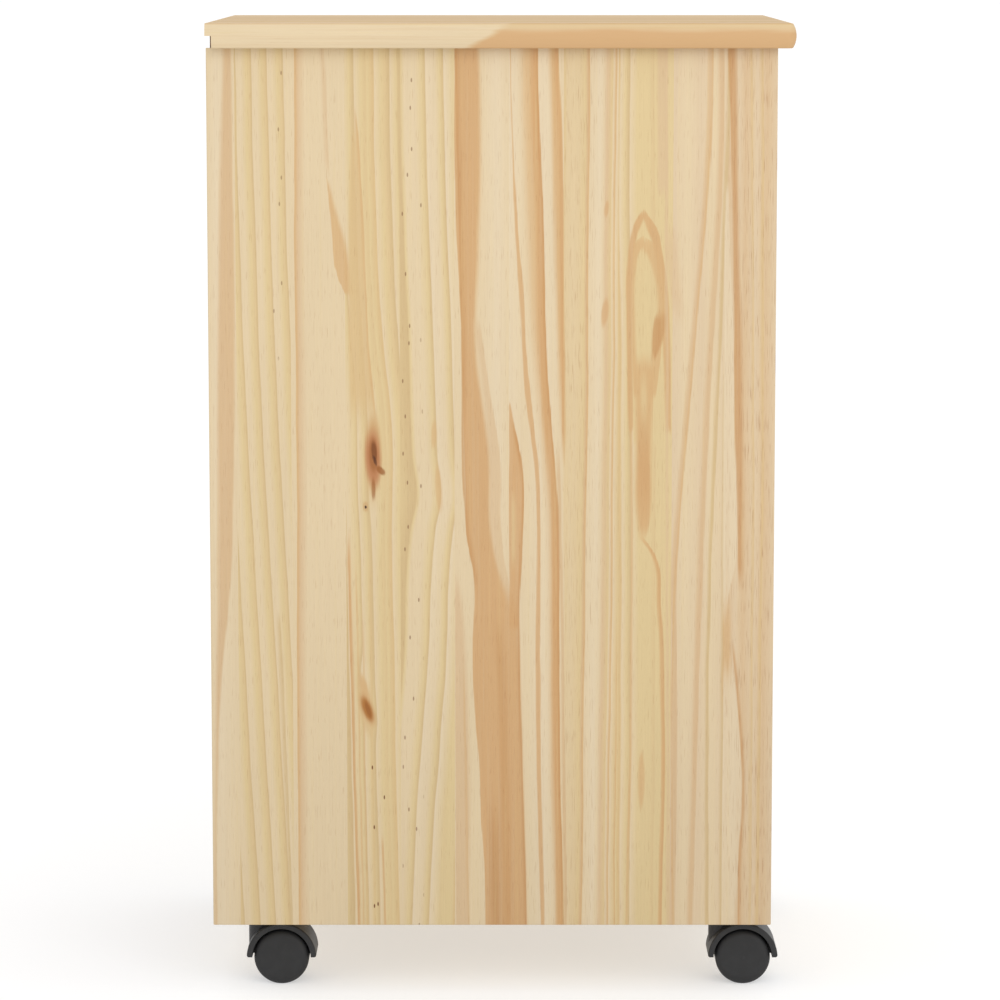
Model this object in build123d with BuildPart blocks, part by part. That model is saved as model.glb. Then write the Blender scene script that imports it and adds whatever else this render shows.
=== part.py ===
from build123d import *
import os

# A kitchen island cart in edge-glued pine: two full side panels, a bullnosed top, a
# drawer over an inset door, one adjustable shelf, a thin back panel held in rebates,
# and four hooded twin-wheel swivel casters under the bottom board.
# +X is the right of someone facing the front, -Y is the front, +Z is up.
# The origin is on the floor, under the middle of the bounding box.  Millimetres.

# ------------------------------------------------------------------ overall size
TOTAL_WIDTH = 420.0
TOTAL_DEPTH = 500.0
TOTAL_HEIGHT = 840.0
CASTER_HEIGHT = 60.0
OVERHANG = 15.0  # the top beyond the sides and the front

# ------------------------------------------------------------------ board stock
TOP_T = 21.0
BOARD_T = 18.0
BOX_T = 12.0  # drawer box sides and back
BACK_T = 2.5
PLY_T = 4.0  # drawer bottom
REVEAL = 2.5  # gap round the inset drawer front and door
EASED = 1.0  # radius on the long edges of the boards

# ------------------------------------------------------------------ worked out
FRONT_Y = -TOTAL_DEPTH / 2 + OVERHANG
REAR_Y = TOTAL_DEPTH / 2
OUTER_X = TOTAL_WIDTH / 2 - OVERHANG
INNER_X = OUTER_X - BOARD_T
MID_PANEL_X = OUTER_X - BOARD_T / 2
BASE_Z = CASTER_HEIGHT
TOP_Z = TOTAL_HEIGHT - TOP_T
FLOOR_Z = BASE_Z + BOARD_T
SIDE_DEPTH = REAR_Y - FRONT_Y
SIDE_HEIGHT = TOP_Z - BASE_Z

REBATE_DEPTH = 5.5  # along Y
REBATE_WIDTH = 9.0  # into the side panels
REBATE_HEIGHT = 10.5  # up into the top
BACK_FACE_Y = REAR_Y - REBATE_DEPTH

DRAWER_FRONT_H = 141.0
DRAWER_FRONT_Z = TOP_Z - REVEAL - DRAWER_FRONT_H
DIVIDER_Z = DRAWER_FRONT_Z - REVEAL - BOARD_T
DOOR_Z = FLOOR_Z + REVEAL
DOOR_H = DIVIDER_Z - REVEAL - DOOR_Z
FRONT_W = 2 * (INNER_X - REVEAL)
FRONT_BACK_Y = FRONT_Y + BOARD_T  # rear face of the drawer front and door
SHELF_Z = 358.0
SHELF_SETBACK = 12.0

os.makedirs("parts", exist_ok=True)


def write(piece, name):
    """Labels a finished piece and writes it as one STEP file."""
    piece.label = name
    export_step(piece, f"parts/{name}.step")


def mirrored(piece):
    """The same piece on the other side of the cart."""
    return mirror(piece, about=Plane.YZ)


# ================================================================== joinery
# Cam fittings and dowels join the horizontal boards and the top to the sides, with
# nothing showing outside.  CAM_INSET is the cam's centre from the joint face.
CAM_R = 7.5
CAM_DEPTH = 12.5
CAM_INSET = 24.0
BOLT_R = 3.4
BOLT_THREAD_R = 2.5
BOLT_GRIP = 11.0
DOWEL_R = 4.0
DOWEL_LENGTH = 30.0
DOWEL_SHORT_END = 10.0
FIT = 0.1  # clearance on a hole that takes a fitting

BOARD_JOINTS = [
    # underside of the board, cam positions along Y, dowel positions along Y
    (BASE_Z, (-110.0, 130.0), (-70.0, 90.0)),
    (DIVIDER_Z, (-150.0, 150.0), (-100.0, 100.0)),
]
TOP_CAMS_Y = (-150.0, 165.0)
TOP_DOWELS_Y = (-190.0, 10.0, 200.0)
CAM_Z = TOP_Z - CAM_INSET


def board_joint_spots(rows):
    """(X side, Y, underside Z) for each fitting of a list of (Z, Y positions)."""
    return [(side, y, z) for z, places in rows for y in places for side in (-1, 1)]


BOARD_CAMS = board_joint_spots([(z, cams) for z, cams, _ in BOARD_JOINTS])
BOARD_DOWELS = board_joint_spots([(z, dowels) for z, _, dowels in BOARD_JOINTS])
TOP_CAMS = [(side, y) for y in TOP_CAMS_Y for side in (-1, 1)]
TOP_DOWELS = [(side, y) for y in TOP_DOWELS_Y for side in (-1, 1)]


def across(x, y, z):
    """A place whose local Z axis runs along X."""
    return Location((x, y, z), (0, 90, 0))


def cut_board_joints(underside):
    """Cuts the cam pockets, bolt channels and dowel holes of one horizontal board."""
    for side, y, z in BOARD_CAMS:
        if z != underside:
            continue
        with Locations((side * (INNER_X - CAM_INSET), y, z + CAM_DEPTH / 2)):
            Cylinder(CAM_R + FIT, CAM_DEPTH, mode=Mode.SUBTRACT)
        with Locations(across(side * (INNER_X - CAM_INSET / 2), y, z + BOARD_T / 2)):
            Cylinder(BOLT_R + FIT, CAM_INSET, mode=Mode.SUBTRACT)
    long_end = DOWEL_LENGTH - DOWEL_SHORT_END + 1
    for side, y, z in BOARD_DOWELS:
        if z != underside:
            continue
        with Locations(across(side * (INNER_X - long_end / 2), y, z + BOARD_T / 2)):
            Cylinder(DOWEL_R + FIT, long_end, mode=Mode.SUBTRACT)


# ================================================================== top board
NOSE_BULGE = 3.0  # how far the edge profile swells at mid thickness
NOSE_EASING = 2.0
NOSE_WIDTH = 6.0
CORNER_R = 2.0  # plan radius of the profile's inner line

nose_x = TOTAL_WIDTH / 2 - NOSE_WIDTH
nose_y = -TOTAL_DEPTH / 2 + NOSE_WIDTH
nose_plane = Plane(origin=(-nose_x, REAR_Y, TOP_Z), x_dir=(-1, 0, 0), z_dir=(0, 1, 0))

with BuildPart() as top_board:
    with BuildLine(Plane.XY.offset(TOP_Z)) as nose_path:
        FilletPolyline(
            (-nose_x, REAR_Y),
            (-nose_x, nose_y),
            (nose_x, nose_y),
            (nose_x, REAR_Y),
            radius=CORNER_R,
        )
    with BuildSketch(nose_plane) as nose_profile:
        with BuildLine():
            Polyline((NOSE_WIDTH - NOSE_BULGE, TOP_T), (0, TOP_T), (0, 0), (NOSE_WIDTH - NOSE_BULGE, 0))
            ThreePointArc(
                (NOSE_WIDTH - NOSE_BULGE, 0),
                (NOSE_WIDTH, TOP_T / 2),
                (NOSE_WIDTH - NOSE_BULGE, TOP_T),
            )
        make_face()
        fillet(nose_profile.vertices().group_by(Axis.X)[-1], NOSE_EASING)
    sweep(path=nose_path.wires()[0])
    with BuildSketch(Plane.XY.offset(TOP_Z)):
        with BuildLine():
            FilletPolyline(
                (-nose_x, REAR_Y),
                (-nose_x, nose_y),
                (nose_x, nose_y),
                (nose_x, REAR_Y),
                radius=CORNER_R,
            )
            Line((-nose_x, REAR_Y), (nose_x, REAR_Y))
        make_face()
    extrude(amount=TOP_T)
    # rebate for the back panel, right through to both ends
    with Locations((0, REAR_Y - REBATE_DEPTH / 2, TOP_Z + REBATE_HEIGHT / 2)):
        Box(TOTAL_WIDTH + 2, REBATE_DEPTH, REBATE_HEIGHT, mode=Mode.SUBTRACT)
    for side, y in TOP_CAMS:
        with Locations((side * MID_PANEL_X, y, TOP_Z + (BOLT_GRIP + 1) / 2)):
            Cylinder(BOLT_THREAD_R + FIT, BOLT_GRIP + 1, mode=Mode.SUBTRACT)
    for side, y in TOP_DOWELS:
        with Locations((side * MID_PANEL_X, y, TOP_Z + (DOWEL_SHORT_END + 1) / 2)):
            Cylinder(DOWEL_R + FIT, DOWEL_SHORT_END + 1, mode=Mode.SUBTRACT)
write(top_board.part, "top_board")


# ================================================================== side panels
PIN_R = 2.5
PIN_DEPTH = 9.0
PIN_ROWS_Y = (-190.0, 190.0)
PIN_STEP = 64.0
PIN_Z = SHELF_Z - PIN_R
PIN_HEIGHTS = (PIN_Z - PIN_STEP, PIN_Z, PIN_Z + PIN_STEP)

with BuildPart() as side_panel_left:
    with Locations((-MID_PANEL_X, FRONT_Y + SIDE_DEPTH / 2, BASE_Z + SIDE_HEIGHT / 2)):
        Box(BOARD_T, SIDE_DEPTH, SIDE_HEIGHT)
    upright_edges = side_panel_left.edges().filter_by(Axis.Z)
    bottom_edges = side_panel_left.faces().sort_by(Axis.Z)[0].edges()
    fillet(upright_edges + bottom_edges, EASED)
    rebate_x = -INNER_X - REBATE_WIDTH / 2
    with Locations((rebate_x, REAR_Y - REBATE_DEPTH / 2, BASE_Z + SIDE_HEIGHT / 2)):
        Box(REBATE_WIDTH, REBATE_DEPTH, SIDE_HEIGHT + 2, mode=Mode.SUBTRACT)
    for y in PIN_ROWS_Y:
        for z in PIN_HEIGHTS:
            with Locations(across(-INNER_X - PIN_DEPTH / 2, y, z)):
                Cylinder(PIN_R + FIT, PIN_DEPTH, mode=Mode.SUBTRACT)
    for side, y, z in BOARD_CAMS:
        with Locations(across(-INNER_X - (BOLT_GRIP + 1) / 2, y, z + BOARD_T / 2)):
            Cylinder(BOLT_THREAD_R + FIT, BOLT_GRIP + 1, mode=Mode.SUBTRACT)
    for side, y, z in BOARD_DOWELS:
        with Locations(across(-INNER_X - (DOWEL_SHORT_END + 1) / 2, y, z + BOARD_T / 2)):
            Cylinder(DOWEL_R + FIT, DOWEL_SHORT_END + 1, mode=Mode.SUBTRACT)
    for y in TOP_CAMS_Y:
        with Locations(across(-INNER_X - CAM_DEPTH / 2, y, CAM_Z)):
            Cylinder(CAM_R + FIT, CAM_DEPTH, mode=Mode.SUBTRACT)
        with Locations((-MID_PANEL_X, y, TOP_Z - CAM_INSET / 2)):
            Cylinder(BOLT_R + FIT, CAM_INSET, mode=Mode.SUBTRACT)
    side_long_end = DOWEL_LENGTH - DOWEL_SHORT_END + 1
    for y in TOP_DOWELS_Y:
        with Locations((-MID_PANEL_X, y, TOP_Z - side_long_end / 2)):
            Cylinder(DOWEL_R + FIT, side_long_end, mode=Mode.SUBTRACT)
write(side_panel_left.part, "side_panel_left")
write(mirrored(side_panel_left.part), "side_panel_right")


# ================================================================== pivots
# The door turns on two steel pins in flanged bushes, at its left edge.
PIVOT_INSET = 8.0
PIVOT_X = -FRONT_W / 2 + PIVOT_INSET
PIVOT_Y = FRONT_Y + BOARD_T / 2
PIVOT_R = 3.0
PIVOT_PLAY = 0.05
PIVOT_IN_DOOR = 12.0
BUSH_R = 4.5
BUSH_DEPTH = 10.0
BUSH_FLANGE_R = 6.0
BUSH_FLANGE_T = 2.2


def cut_bush_seat(face_z, up):
    """Cuts a bush seat into a board, going up or down from its face."""
    with Locations((PIVOT_X, PIVOT_Y, face_z + up * (BUSH_DEPTH + 1) / 2)):
        Cylinder(BUSH_R + FIT, BUSH_DEPTH + 1, mode=Mode.SUBTRACT)


# ================================================================== flat boards
BOARD_DEPTH = BACK_FACE_Y - FRONT_Y


def front_edges(board):
    """The long edges at the front of a horizontal board."""
    return board.faces().sort_by(Axis.Y)[0].edges().filter_by(Axis.X)


with BuildPart() as bottom_board:
    with Locations((0, FRONT_Y + BOARD_DEPTH / 2, BASE_Z + BOARD_T / 2)):
        Box(2 * INNER_X, BOARD_DEPTH, BOARD_T)
    fillet(front_edges(bottom_board), EASED)
    cut_board_joints(BASE_Z)
    cut_bush_seat(FLOOR_Z, -1)
write(bottom_board.part, "bottom_board")

with BuildPart() as divider_board:
    with Locations((0, FRONT_Y + BOARD_DEPTH / 2, DIVIDER_Z + BOARD_T / 2)):
        Box(2 * INNER_X, BOARD_DEPTH, BOARD_T)
    fillet(front_edges(divider_board), EASED)
    cut_board_joints(DIVIDER_Z)
    cut_bush_seat(DIVIDER_Z, 1)
write(divider_board.part, "divider_board")

shelf_front = FRONT_BACK_Y + SHELF_SETBACK
shelf_depth = BACK_FACE_Y - 1 - shelf_front
with BuildPart() as shelf_board:
    with Locations((0, shelf_front + shelf_depth / 2, SHELF_Z + BOARD_T / 2)):
        Box(2 * INNER_X - 2, shelf_depth, BOARD_T)
    fillet(front_edges(shelf_board), EASED)
write(shelf_board.part, "shelf_board")

back_bottom = BASE_Z + 1
back_top = TOP_Z + REBATE_HEIGHT - 0.5
back_half_width = INNER_X + REBATE_WIDTH - 0.5
with BuildPart() as back_panel:
    with Locations((0, BACK_FACE_Y + BACK_T / 2, (back_bottom + back_top) / 2)):
        Box(2 * back_half_width, BACK_T, back_top - back_bottom)
write(back_panel.part, "back_panel")


# ================================================================== fittings
with BuildPart() as cam_locks:
    for side, y, z in BOARD_CAMS:
        cam_x = side * (INNER_X - CAM_INSET)
        with Locations((cam_x, y, z + CAM_DEPTH / 2)):
            Cylinder(CAM_R, CAM_DEPTH)
        with Locations(across(cam_x + side * CAM_R / 2, y, z + BOARD_T / 2)):
            Cylinder(BOLT_R + FIT, CAM_R + 2, mode=Mode.SUBTRACT)
        with Locations((cam_x, y, z)):
            Box(9, 1.6, 3, mode=Mode.SUBTRACT)
            Box(1.6, 9, 3, mode=Mode.SUBTRACT)
    for side, y in TOP_CAMS:
        with Locations(across(side * (INNER_X + CAM_DEPTH / 2), y, CAM_Z)):
            Cylinder(CAM_R, CAM_DEPTH)
        with Locations((side * MID_PANEL_X, y, CAM_Z + CAM_R / 2)):
            Cylinder(BOLT_R + FIT, CAM_R + 2, mode=Mode.SUBTRACT)
        with Locations((side * INNER_X, y, CAM_Z)):
            Box(3, 9, 1.6, mode=Mode.SUBTRACT)
            Box(3, 1.6, 9, mode=Mode.SUBTRACT)
write(cam_locks.part, "cam_locks")

bolt_shaft = CAM_INSET - 1
with BuildPart() as cam_bolts:
    for side, y, z in BOARD_CAMS:
        with Locations(across(side * (INNER_X - bolt_shaft / 2), y, z + BOARD_T / 2)):
            Cylinder(BOLT_R, bolt_shaft)
        with Locations(across(side * (INNER_X + BOLT_GRIP / 2), y, z + BOARD_T / 2)):
            Cylinder(BOLT_THREAD_R, BOLT_GRIP)
    for side, y in TOP_CAMS:
        with Locations((side * MID_PANEL_X, y, TOP_Z - bolt_shaft / 2)):
            Cylinder(BOLT_R, bolt_shaft)
        with Locations((side * MID_PANEL_X, y, TOP_Z + BOLT_GRIP / 2)):
            Cylinder(BOLT_THREAD_R, BOLT_GRIP)
write(cam_bolts.part, "cam_bolts")

dowel_shift = DOWEL_LENGTH / 2 - DOWEL_SHORT_END
with BuildPart() as wood_dowels:
    for side, y, z in BOARD_DOWELS:
        with Locations(across(side * (INNER_X - dowel_shift), y, z + BOARD_T / 2)):
            Cylinder(DOWEL_R, DOWEL_LENGTH)
    for side, y in TOP_DOWELS:
        with Locations((side * MID_PANEL_X, y, TOP_Z - dowel_shift)):
            Cylinder(DOWEL_R, DOWEL_LENGTH)
    chamfer(wood_dowels.edges().filter_by(GeomType.CIRCLE), 0.8)
write(wood_dowels.part, "wood_dowels")

PIN_LENGTH = 16.0
PIN_SEATED = 8.0
PIN_COLLAR_T = 0.8
with BuildPart() as shelf_pins:
    for side in (-1, 1):
        for y in PIN_ROWS_Y:
            with Locations(across(side * (INNER_X + PIN_SEATED - PIN_LENGTH / 2), y, PIN_Z)):
                Cylinder(PIN_R, PIN_LENGTH)
            with Locations(across(side * (INNER_X - PIN_COLLAR_T / 2), y, PIN_Z)):
                Cylinder(PIN_R + 1, PIN_COLLAR_T)
write(shelf_pins.part, "shelf_pins")

NAIL_R = 0.8
NAIL_LENGTH = 18.0
NAIL_HEAD_R = 2.0
NAIL_HEAD_T = 0.8
back_outer_y = BACK_FACE_Y + BACK_T
nail_x = INNER_X + REBATE_WIDTH / 2
nail_heights = [BASE_Z + 45 + 111.5 * step for step in range(7)]
nail_spots = [(side * nail_x, z) for side in (-1, 1) for z in nail_heights]
nail_spots += [(x, z + BOARD_T / 2) for x in (-110, 0, 110) for z in (BASE_Z, DIVIDER_Z)]
nail_spots += [(x, TOP_Z + REBATE_HEIGHT / 2) for x in (-110, 0, 110)]
with BuildPart() as back_panel_nails:
    for x, z in nail_spots:
        with Locations(Location((x, back_outer_y - NAIL_LENGTH / 2, z), (90, 0, 0))):
            Cylinder(NAIL_R, NAIL_LENGTH)
        with Locations(Location((x, back_outer_y + NAIL_HEAD_T / 2, z), (90, 0, 0))):
            Cylinder(NAIL_HEAD_R, NAIL_HEAD_T)
write(back_panel_nails.part, "back_panel_nails")

with BuildPart() as pivot_bushes:
    for face_z, up in ((FLOOR_Z, -1), (DIVIDER_Z, 1)):
        with Locations((PIVOT_X, PIVOT_Y, face_z + up * BUSH_DEPTH / 2)):
            Cylinder(BUSH_R, BUSH_DEPTH)
        with Locations((PIVOT_X, PIVOT_Y, face_z - up * BUSH_FLANGE_T / 2)):
            Cylinder(BUSH_FLANGE_R, BUSH_FLANGE_T)
        with Locations((PIVOT_X, PIVOT_Y, face_z)):
            Cylinder(PIVOT_R + PIVOT_PLAY, 3 * BUSH_DEPTH, mode=Mode.SUBTRACT)
write(pivot_bushes.part, "pivot_bushes")


# ================================================================== knobs
KNOB_R = 15.0
KNOB_LENGTH = 12.5
KNOB_FOOT_R = 9.0
KNOB_RIM_Y = 8.2  # how far the knob's widest part stands off the front
KNOB_NECK_R = 7.0
KNOB_SCREW_R = 2.0
KNOB_SCREW_DEPTH = 8.5
KNOB_SCREW_HEAD_R = 4.2
KNOB_SCREW_HEAD_T = 2.4
DRAWER_KNOB = (0.0, DRAWER_FRONT_Z + DRAWER_FRONT_H / 2)
DOOR_KNOB = (FRONT_W / 2 - 34.0, DOOR_Z + DOOR_H - 90.0)


def turned_knob(x, z):
    """A low mushroom knob turned about Y, standing on the front face at x, z."""
    plane = Plane(origin=(x, FRONT_Y, z), x_dir=(1, 0, 0), z_dir=(0, 0, 1))
    with BuildPart() as knob:
        with BuildSketch(plane):
            with BuildLine():
                Polyline((0, -KNOB_LENGTH), (0, 0), (KNOB_FOOT_R, 0), (KNOB_FOOT_R, -1.0))
                Spline(
                    (KNOB_FOOT_R, -1.0),
                    (KNOB_NECK_R, -3.2),
                    (KNOB_R - 2.5, -6.0),
                    (KNOB_R, -KNOB_RIM_Y),
                    tangents=((-0.6, -1), (0, -1)),
                )
                Spline(
                    (KNOB_R, -KNOB_RIM_Y),
                    (KNOB_R * 0.72, -KNOB_LENGTH + 0.9),
                    (0, -KNOB_LENGTH),
                    tangents=((0, -1), (-1, 0)),
                )
            make_face()
        revolve(axis=Axis((x, FRONT_Y, z), (0, 1, 0)))
        with Locations(Location((x, FRONT_Y - KNOB_SCREW_DEPTH / 2, z), (90, 0, 0))):
            Cylinder(KNOB_SCREW_R, KNOB_SCREW_DEPTH, mode=Mode.SUBTRACT)
    return knob.part


def knob_screw(x, z):
    """A machine screw from the back of the front, through it and into the knob."""
    length = BOARD_T + KNOB_SCREW_DEPTH - 0.5
    with BuildPart() as screw:
        with Locations(Location((x, FRONT_BACK_Y - length / 2, z), (90, 0, 0))):
            Cylinder(KNOB_SCREW_R - 0.05, length)
        with Locations(Location((x, FRONT_BACK_Y + KNOB_SCREW_HEAD_T / 2, z), (90, 0, 0))):
            Cylinder(KNOB_SCREW_HEAD_R, KNOB_SCREW_HEAD_T)
        fillet(screw.faces().sort_by(Axis.Y)[-1].edges(), 1.0)
        with Locations((x, FRONT_BACK_Y + KNOB_SCREW_HEAD_T, z)):
            Box(5, 1.6, 1.1, mode=Mode.SUBTRACT)
            Box(1.1, 1.6, 5, mode=Mode.SUBTRACT)
    return screw.part


def cut_knob_hole(x, z):
    """Cuts the knob screw's clearance hole through a front."""
    with Locations(Location((x, FRONT_Y + BOARD_T / 2, z), (90, 0, 0))):
        Cylinder(KNOB_SCREW_R + 0.2, BOARD_T + 2, mode=Mode.SUBTRACT)


write(turned_knob(*DRAWER_KNOB), "drawer_knob")
write(knob_screw(*DRAWER_KNOB), "drawer_knob_screw")
write(turned_knob(*DOOR_KNOB), "door_knob")
write(knob_screw(*DOOR_KNOB), "door_knob_screw")


# ================================================================== drawer
SLIDE_T = 13.0  # room for the slide on each side
BOX_OUTER_X = INNER_X - SLIDE_T
BOX_INNER_X = BOX_OUTER_X - BOX_T
BOX_HEIGHT = 100.0
BOX_Z = DRAWER_FRONT_Z + 14.0
BOX_LENGTH = 410.0
BOX_REAR_Y = FRONT_BACK_Y + BOX_LENGTH
GROOVE_UP = 8.0
GROOVE_DEPTH = 5.0
GROOVE_Z = BOX_Z + GROOVE_UP
GROOVE_PLAY = 0.1

with BuildPart() as drawer_front:
    with Locations((0, FRONT_Y + BOARD_T / 2, DRAWER_FRONT_Z + DRAWER_FRONT_H / 2)):
        Box(FRONT_W, BOARD_T, DRAWER_FRONT_H)
    fillet(drawer_front.faces().sort_by(Axis.Y)[0].edges(), EASED)
    with Locations((0, FRONT_BACK_Y - GROOVE_DEPTH / 2, GROOVE_Z + PLY_T / 2)):
        Box(2 * (BOX_INNER_X + GROOVE_DEPTH), GROOVE_DEPTH, PLY_T + GROOVE_PLAY, mode=Mode.SUBTRACT)
    cut_knob_hole(*DRAWER_KNOB)
write(drawer_front.part, "drawer_front")

with BuildPart() as drawer_side_left:
    box_mid = (-BOX_OUTER_X + BOX_T / 2, FRONT_BACK_Y + BOX_LENGTH / 2, BOX_Z + BOX_HEIGHT / 2)
    with Locations(box_mid):
        Box(BOX_T, BOX_LENGTH, BOX_HEIGHT)
    fillet(drawer_side_left.faces().sort_by(Axis.Z)[-1].edges().filter_by(Axis.Y), EASED)
    groove_x = -BOX_INNER_X - GROOVE_DEPTH / 2
    with Locations((groove_x, FRONT_BACK_Y + BOX_LENGTH / 2, GROOVE_Z + PLY_T / 2)):
        Box(GROOVE_DEPTH, BOX_LENGTH + 2, PLY_T + GROOVE_PLAY, mode=Mode.SUBTRACT)
write(drawer_side_left.part, "drawer_side_left")
write(mirrored(drawer_side_left.part), "drawer_side_right")

drawer_back_z = GROOVE_Z + PLY_T + GROOVE_PLAY
with BuildPart() as drawer_back:
    drawer_back_h = BOX_Z + BOX_HEIGHT - drawer_back_z
    with Locations((0, BOX_REAR_Y - BOX_T / 2, drawer_back_z + drawer_back_h / 2)):
        Box(2 * BOX_INNER_X, BOX_T, drawer_back_h)
    fillet(drawer_back.faces().sort_by(Axis.Z)[-1].edges().filter_by(Axis.X), EASED)
write(drawer_back.part, "drawer_back")

with BuildPart() as drawer_bottom:
    bottom_front = FRONT_BACK_Y - GROOVE_DEPTH + 0.3
    bottom_half = BOX_INNER_X + GROOVE_DEPTH - 0.3
    bottom_length = BOX_REAR_Y - bottom_front
    with Locations((0, bottom_front + bottom_length / 2, GROOVE_Z + PLY_T / 2)):
        Box(2 * bottom_half, bottom_length, PLY_T)
write(drawer_bottom.part, "drawer_bottom")


# ================================================================== drawer slides
# Ball-bearing slides: a channel on the cabinet side, a narrower one on the drawer
# box, and between them a cage of balls that travels half as far as the drawer.
# Sections are drawn for the left side, X across and Z up from the slide's own axis.
SLIDE_LENGTH = 400.0
SLIDE_FRONT_Y = FRONT_BACK_Y + 2
SLIDE_Z = BOX_Z + BOX_HEIGHT / 2
SHEET_T = 1.2
RAIL_H = 35.0
RAIL_LEG = 9.4
LIP_H = 1.6
LIP_T = 1.0
RUNNER_H = 22.6
RUNNER_LEG = 10.0
BALL_R = 2.4
BALL_X = 5.0  # ball centres from the cabinet side's face
BALL_Z = 13.8
BALLS_PER_ROW = 4
CAGE_T = 0.6
CAGE_X = 1.7
CAGE_FLANGE = 6.4
CAGE_LENGTH = 100.0
CAGE_FRONT_Y = SLIDE_FRONT_Y + 150
SLIDE_SCREW_R = 1.6
SLIDE_SCREW_HEAD_R = 3.0
SLIDE_SCREW_L = 11.0
SLIDE_SCREWS_Y = (SLIDE_FRONT_Y + 20, SLIDE_FRONT_Y + 200, SLIDE_FRONT_Y + 380)

slide_plane = Plane(origin=(-INNER_X, SLIDE_FRONT_Y, SLIDE_Z), x_dir=(1, 0, 0), z_dir=(0, -1, 0))
ball_rows = [(x, z) for x, z in ((BALL_X, BALL_Z), (BALL_X, -BALL_Z))]
ball_pitch = CAGE_LENGTH / BALLS_PER_ROW


def slide_screws(face_x, depth_sign):
    """Flush countersunk screws whose heads lie in the sheet that starts at face_x."""
    length = SLIDE_SCREW_L - SHEET_T
    turn = 90 if depth_sign > 0 else -90
    with BuildPart() as screws:
        for y in SLIDE_SCREWS_Y:
            with Locations(Location((face_x + depth_sign * SHEET_T / 2, y, SLIDE_Z), (0, turn, 0))):
                Cone(SLIDE_SCREW_HEAD_R, SLIDE_SCREW_R, SHEET_T)
            shank_x = face_x + depth_sign * (SHEET_T + length / 2)
            with Locations(across(shank_x, y, SLIDE_Z)):
                Cylinder(SLIDE_SCREW_R, length)
    return screws.part


rail_screws_left = slide_screws(-INNER_X + SHEET_T, -1)
runner_screws_left = slide_screws(-BOX_OUTER_X - SHEET_T, 1)

with BuildPart() as slide_rail_left:
    with BuildSketch(slide_plane):
        with Locations((RAIL_LEG / 2, 0)):
            Rectangle(RAIL_LEG, RAIL_H)
        with Locations((SHEET_T + RAIL_LEG / 2, 0)):
            Rectangle(RAIL_LEG, RAIL_H - 2 * SHEET_T, mode=Mode.SUBTRACT)
        lip_z = RAIL_H / 2 - SHEET_T - LIP_H / 2
        with Locations((RAIL_LEG - LIP_T / 2, lip_z), (RAIL_LEG - LIP_T / 2, -lip_z)):
            Rectangle(LIP_T, LIP_H)
    extrude(amount=-SLIDE_LENGTH)
    add(rail_screws_left, mode=Mode.SUBTRACT)
write(slide_rail_left.part, "slide_rail_left")
write(mirrored(slide_rail_left.part), "slide_rail_right")

runner_outer = SLIDE_T
with BuildPart() as drawer_runner_left:
    with BuildSketch(slide_plane):
        with Locations((runner_outer - RUNNER_LEG / 2, 0)):
            Rectangle(RUNNER_LEG, RUNNER_H)
        with Locations((runner_outer - SHEET_T - RUNNER_LEG / 2, 0)):
            Rectangle(RUNNER_LEG, RUNNER_H - 2 * SHEET_T, mode=Mode.SUBTRACT)
    extrude(amount=-SLIDE_LENGTH)
    add(runner_screws_left, mode=Mode.SUBTRACT)
write(drawer_runner_left.part, "drawer_runner_left")
write(mirrored(drawer_runner_left.part), "drawer_runner_right")

with BuildPart() as ball_cage_left:
    with Locations((-INNER_X + CAGE_X + CAGE_T / 2, CAGE_FRONT_Y + CAGE_LENGTH / 2, SLIDE_Z)):
        Box(CAGE_T, CAGE_LENGTH, 2 * BALL_Z + CAGE_T)
    for x, z in ball_rows:
        flange_x = -INNER_X + CAGE_X + CAGE_FLANGE / 2
        with Locations((flange_x, CAGE_FRONT_Y + CAGE_LENGTH / 2, SLIDE_Z + z)):
            Box(CAGE_FLANGE, CAGE_LENGTH, CAGE_T)
        for count in range(BALLS_PER_ROW):
            ball_y = CAGE_FRONT_Y + ball_pitch * (count + 0.5)
            with Locations((-INNER_X + x, ball_y, SLIDE_Z + z)):
                Cylinder(BALL_R + FIT, 2 * CAGE_T, mode=Mode.SUBTRACT)
                Sphere(BALL_R)
write(ball_cage_left.part, "ball_cage_left")
write(mirrored(ball_cage_left.part), "ball_cage_right")

write(Compound([*rail_screws_left.solids(), *mirrored(rail_screws_left).solids()]), "rail_screws")
write(Compound([*runner_screws_left.solids(), *mirrored(runner_screws_left).solids()]), "runner_screws")


# ================================================================== door
DOOR_EDGE_R = 6.0  # rounds the pivot edge so that it clears the side as it turns
with BuildPart() as door_panel:
    with Locations((0, FRONT_Y + BOARD_T / 2, DOOR_Z + DOOR_H / 2)):
        Box(FRONT_W, BOARD_T, DOOR_H)
    fillet(door_panel.edges().filter_by(Axis.Z).group_by(Axis.X)[0], DOOR_EDGE_R)
    front_face = door_panel.faces().filter_by(Axis.Y).sort_by(Axis.Y)[0]
    fillet(front_face.edges().filter_by(Axis.Z).sort_by(Axis.X)[-1], EASED)
    for end_z, up in ((DOOR_Z, 1), (DOOR_Z + DOOR_H, -1)):
        with Locations((PIVOT_X, PIVOT_Y, end_z + up * (PIVOT_IN_DOOR + 0.5) / 2)):
            Cylinder(PIVOT_R, PIVOT_IN_DOOR + 0.5, mode=Mode.SUBTRACT)
    cut_knob_hole(*DOOR_KNOB)
write(door_panel.part, "door_panel")

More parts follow.
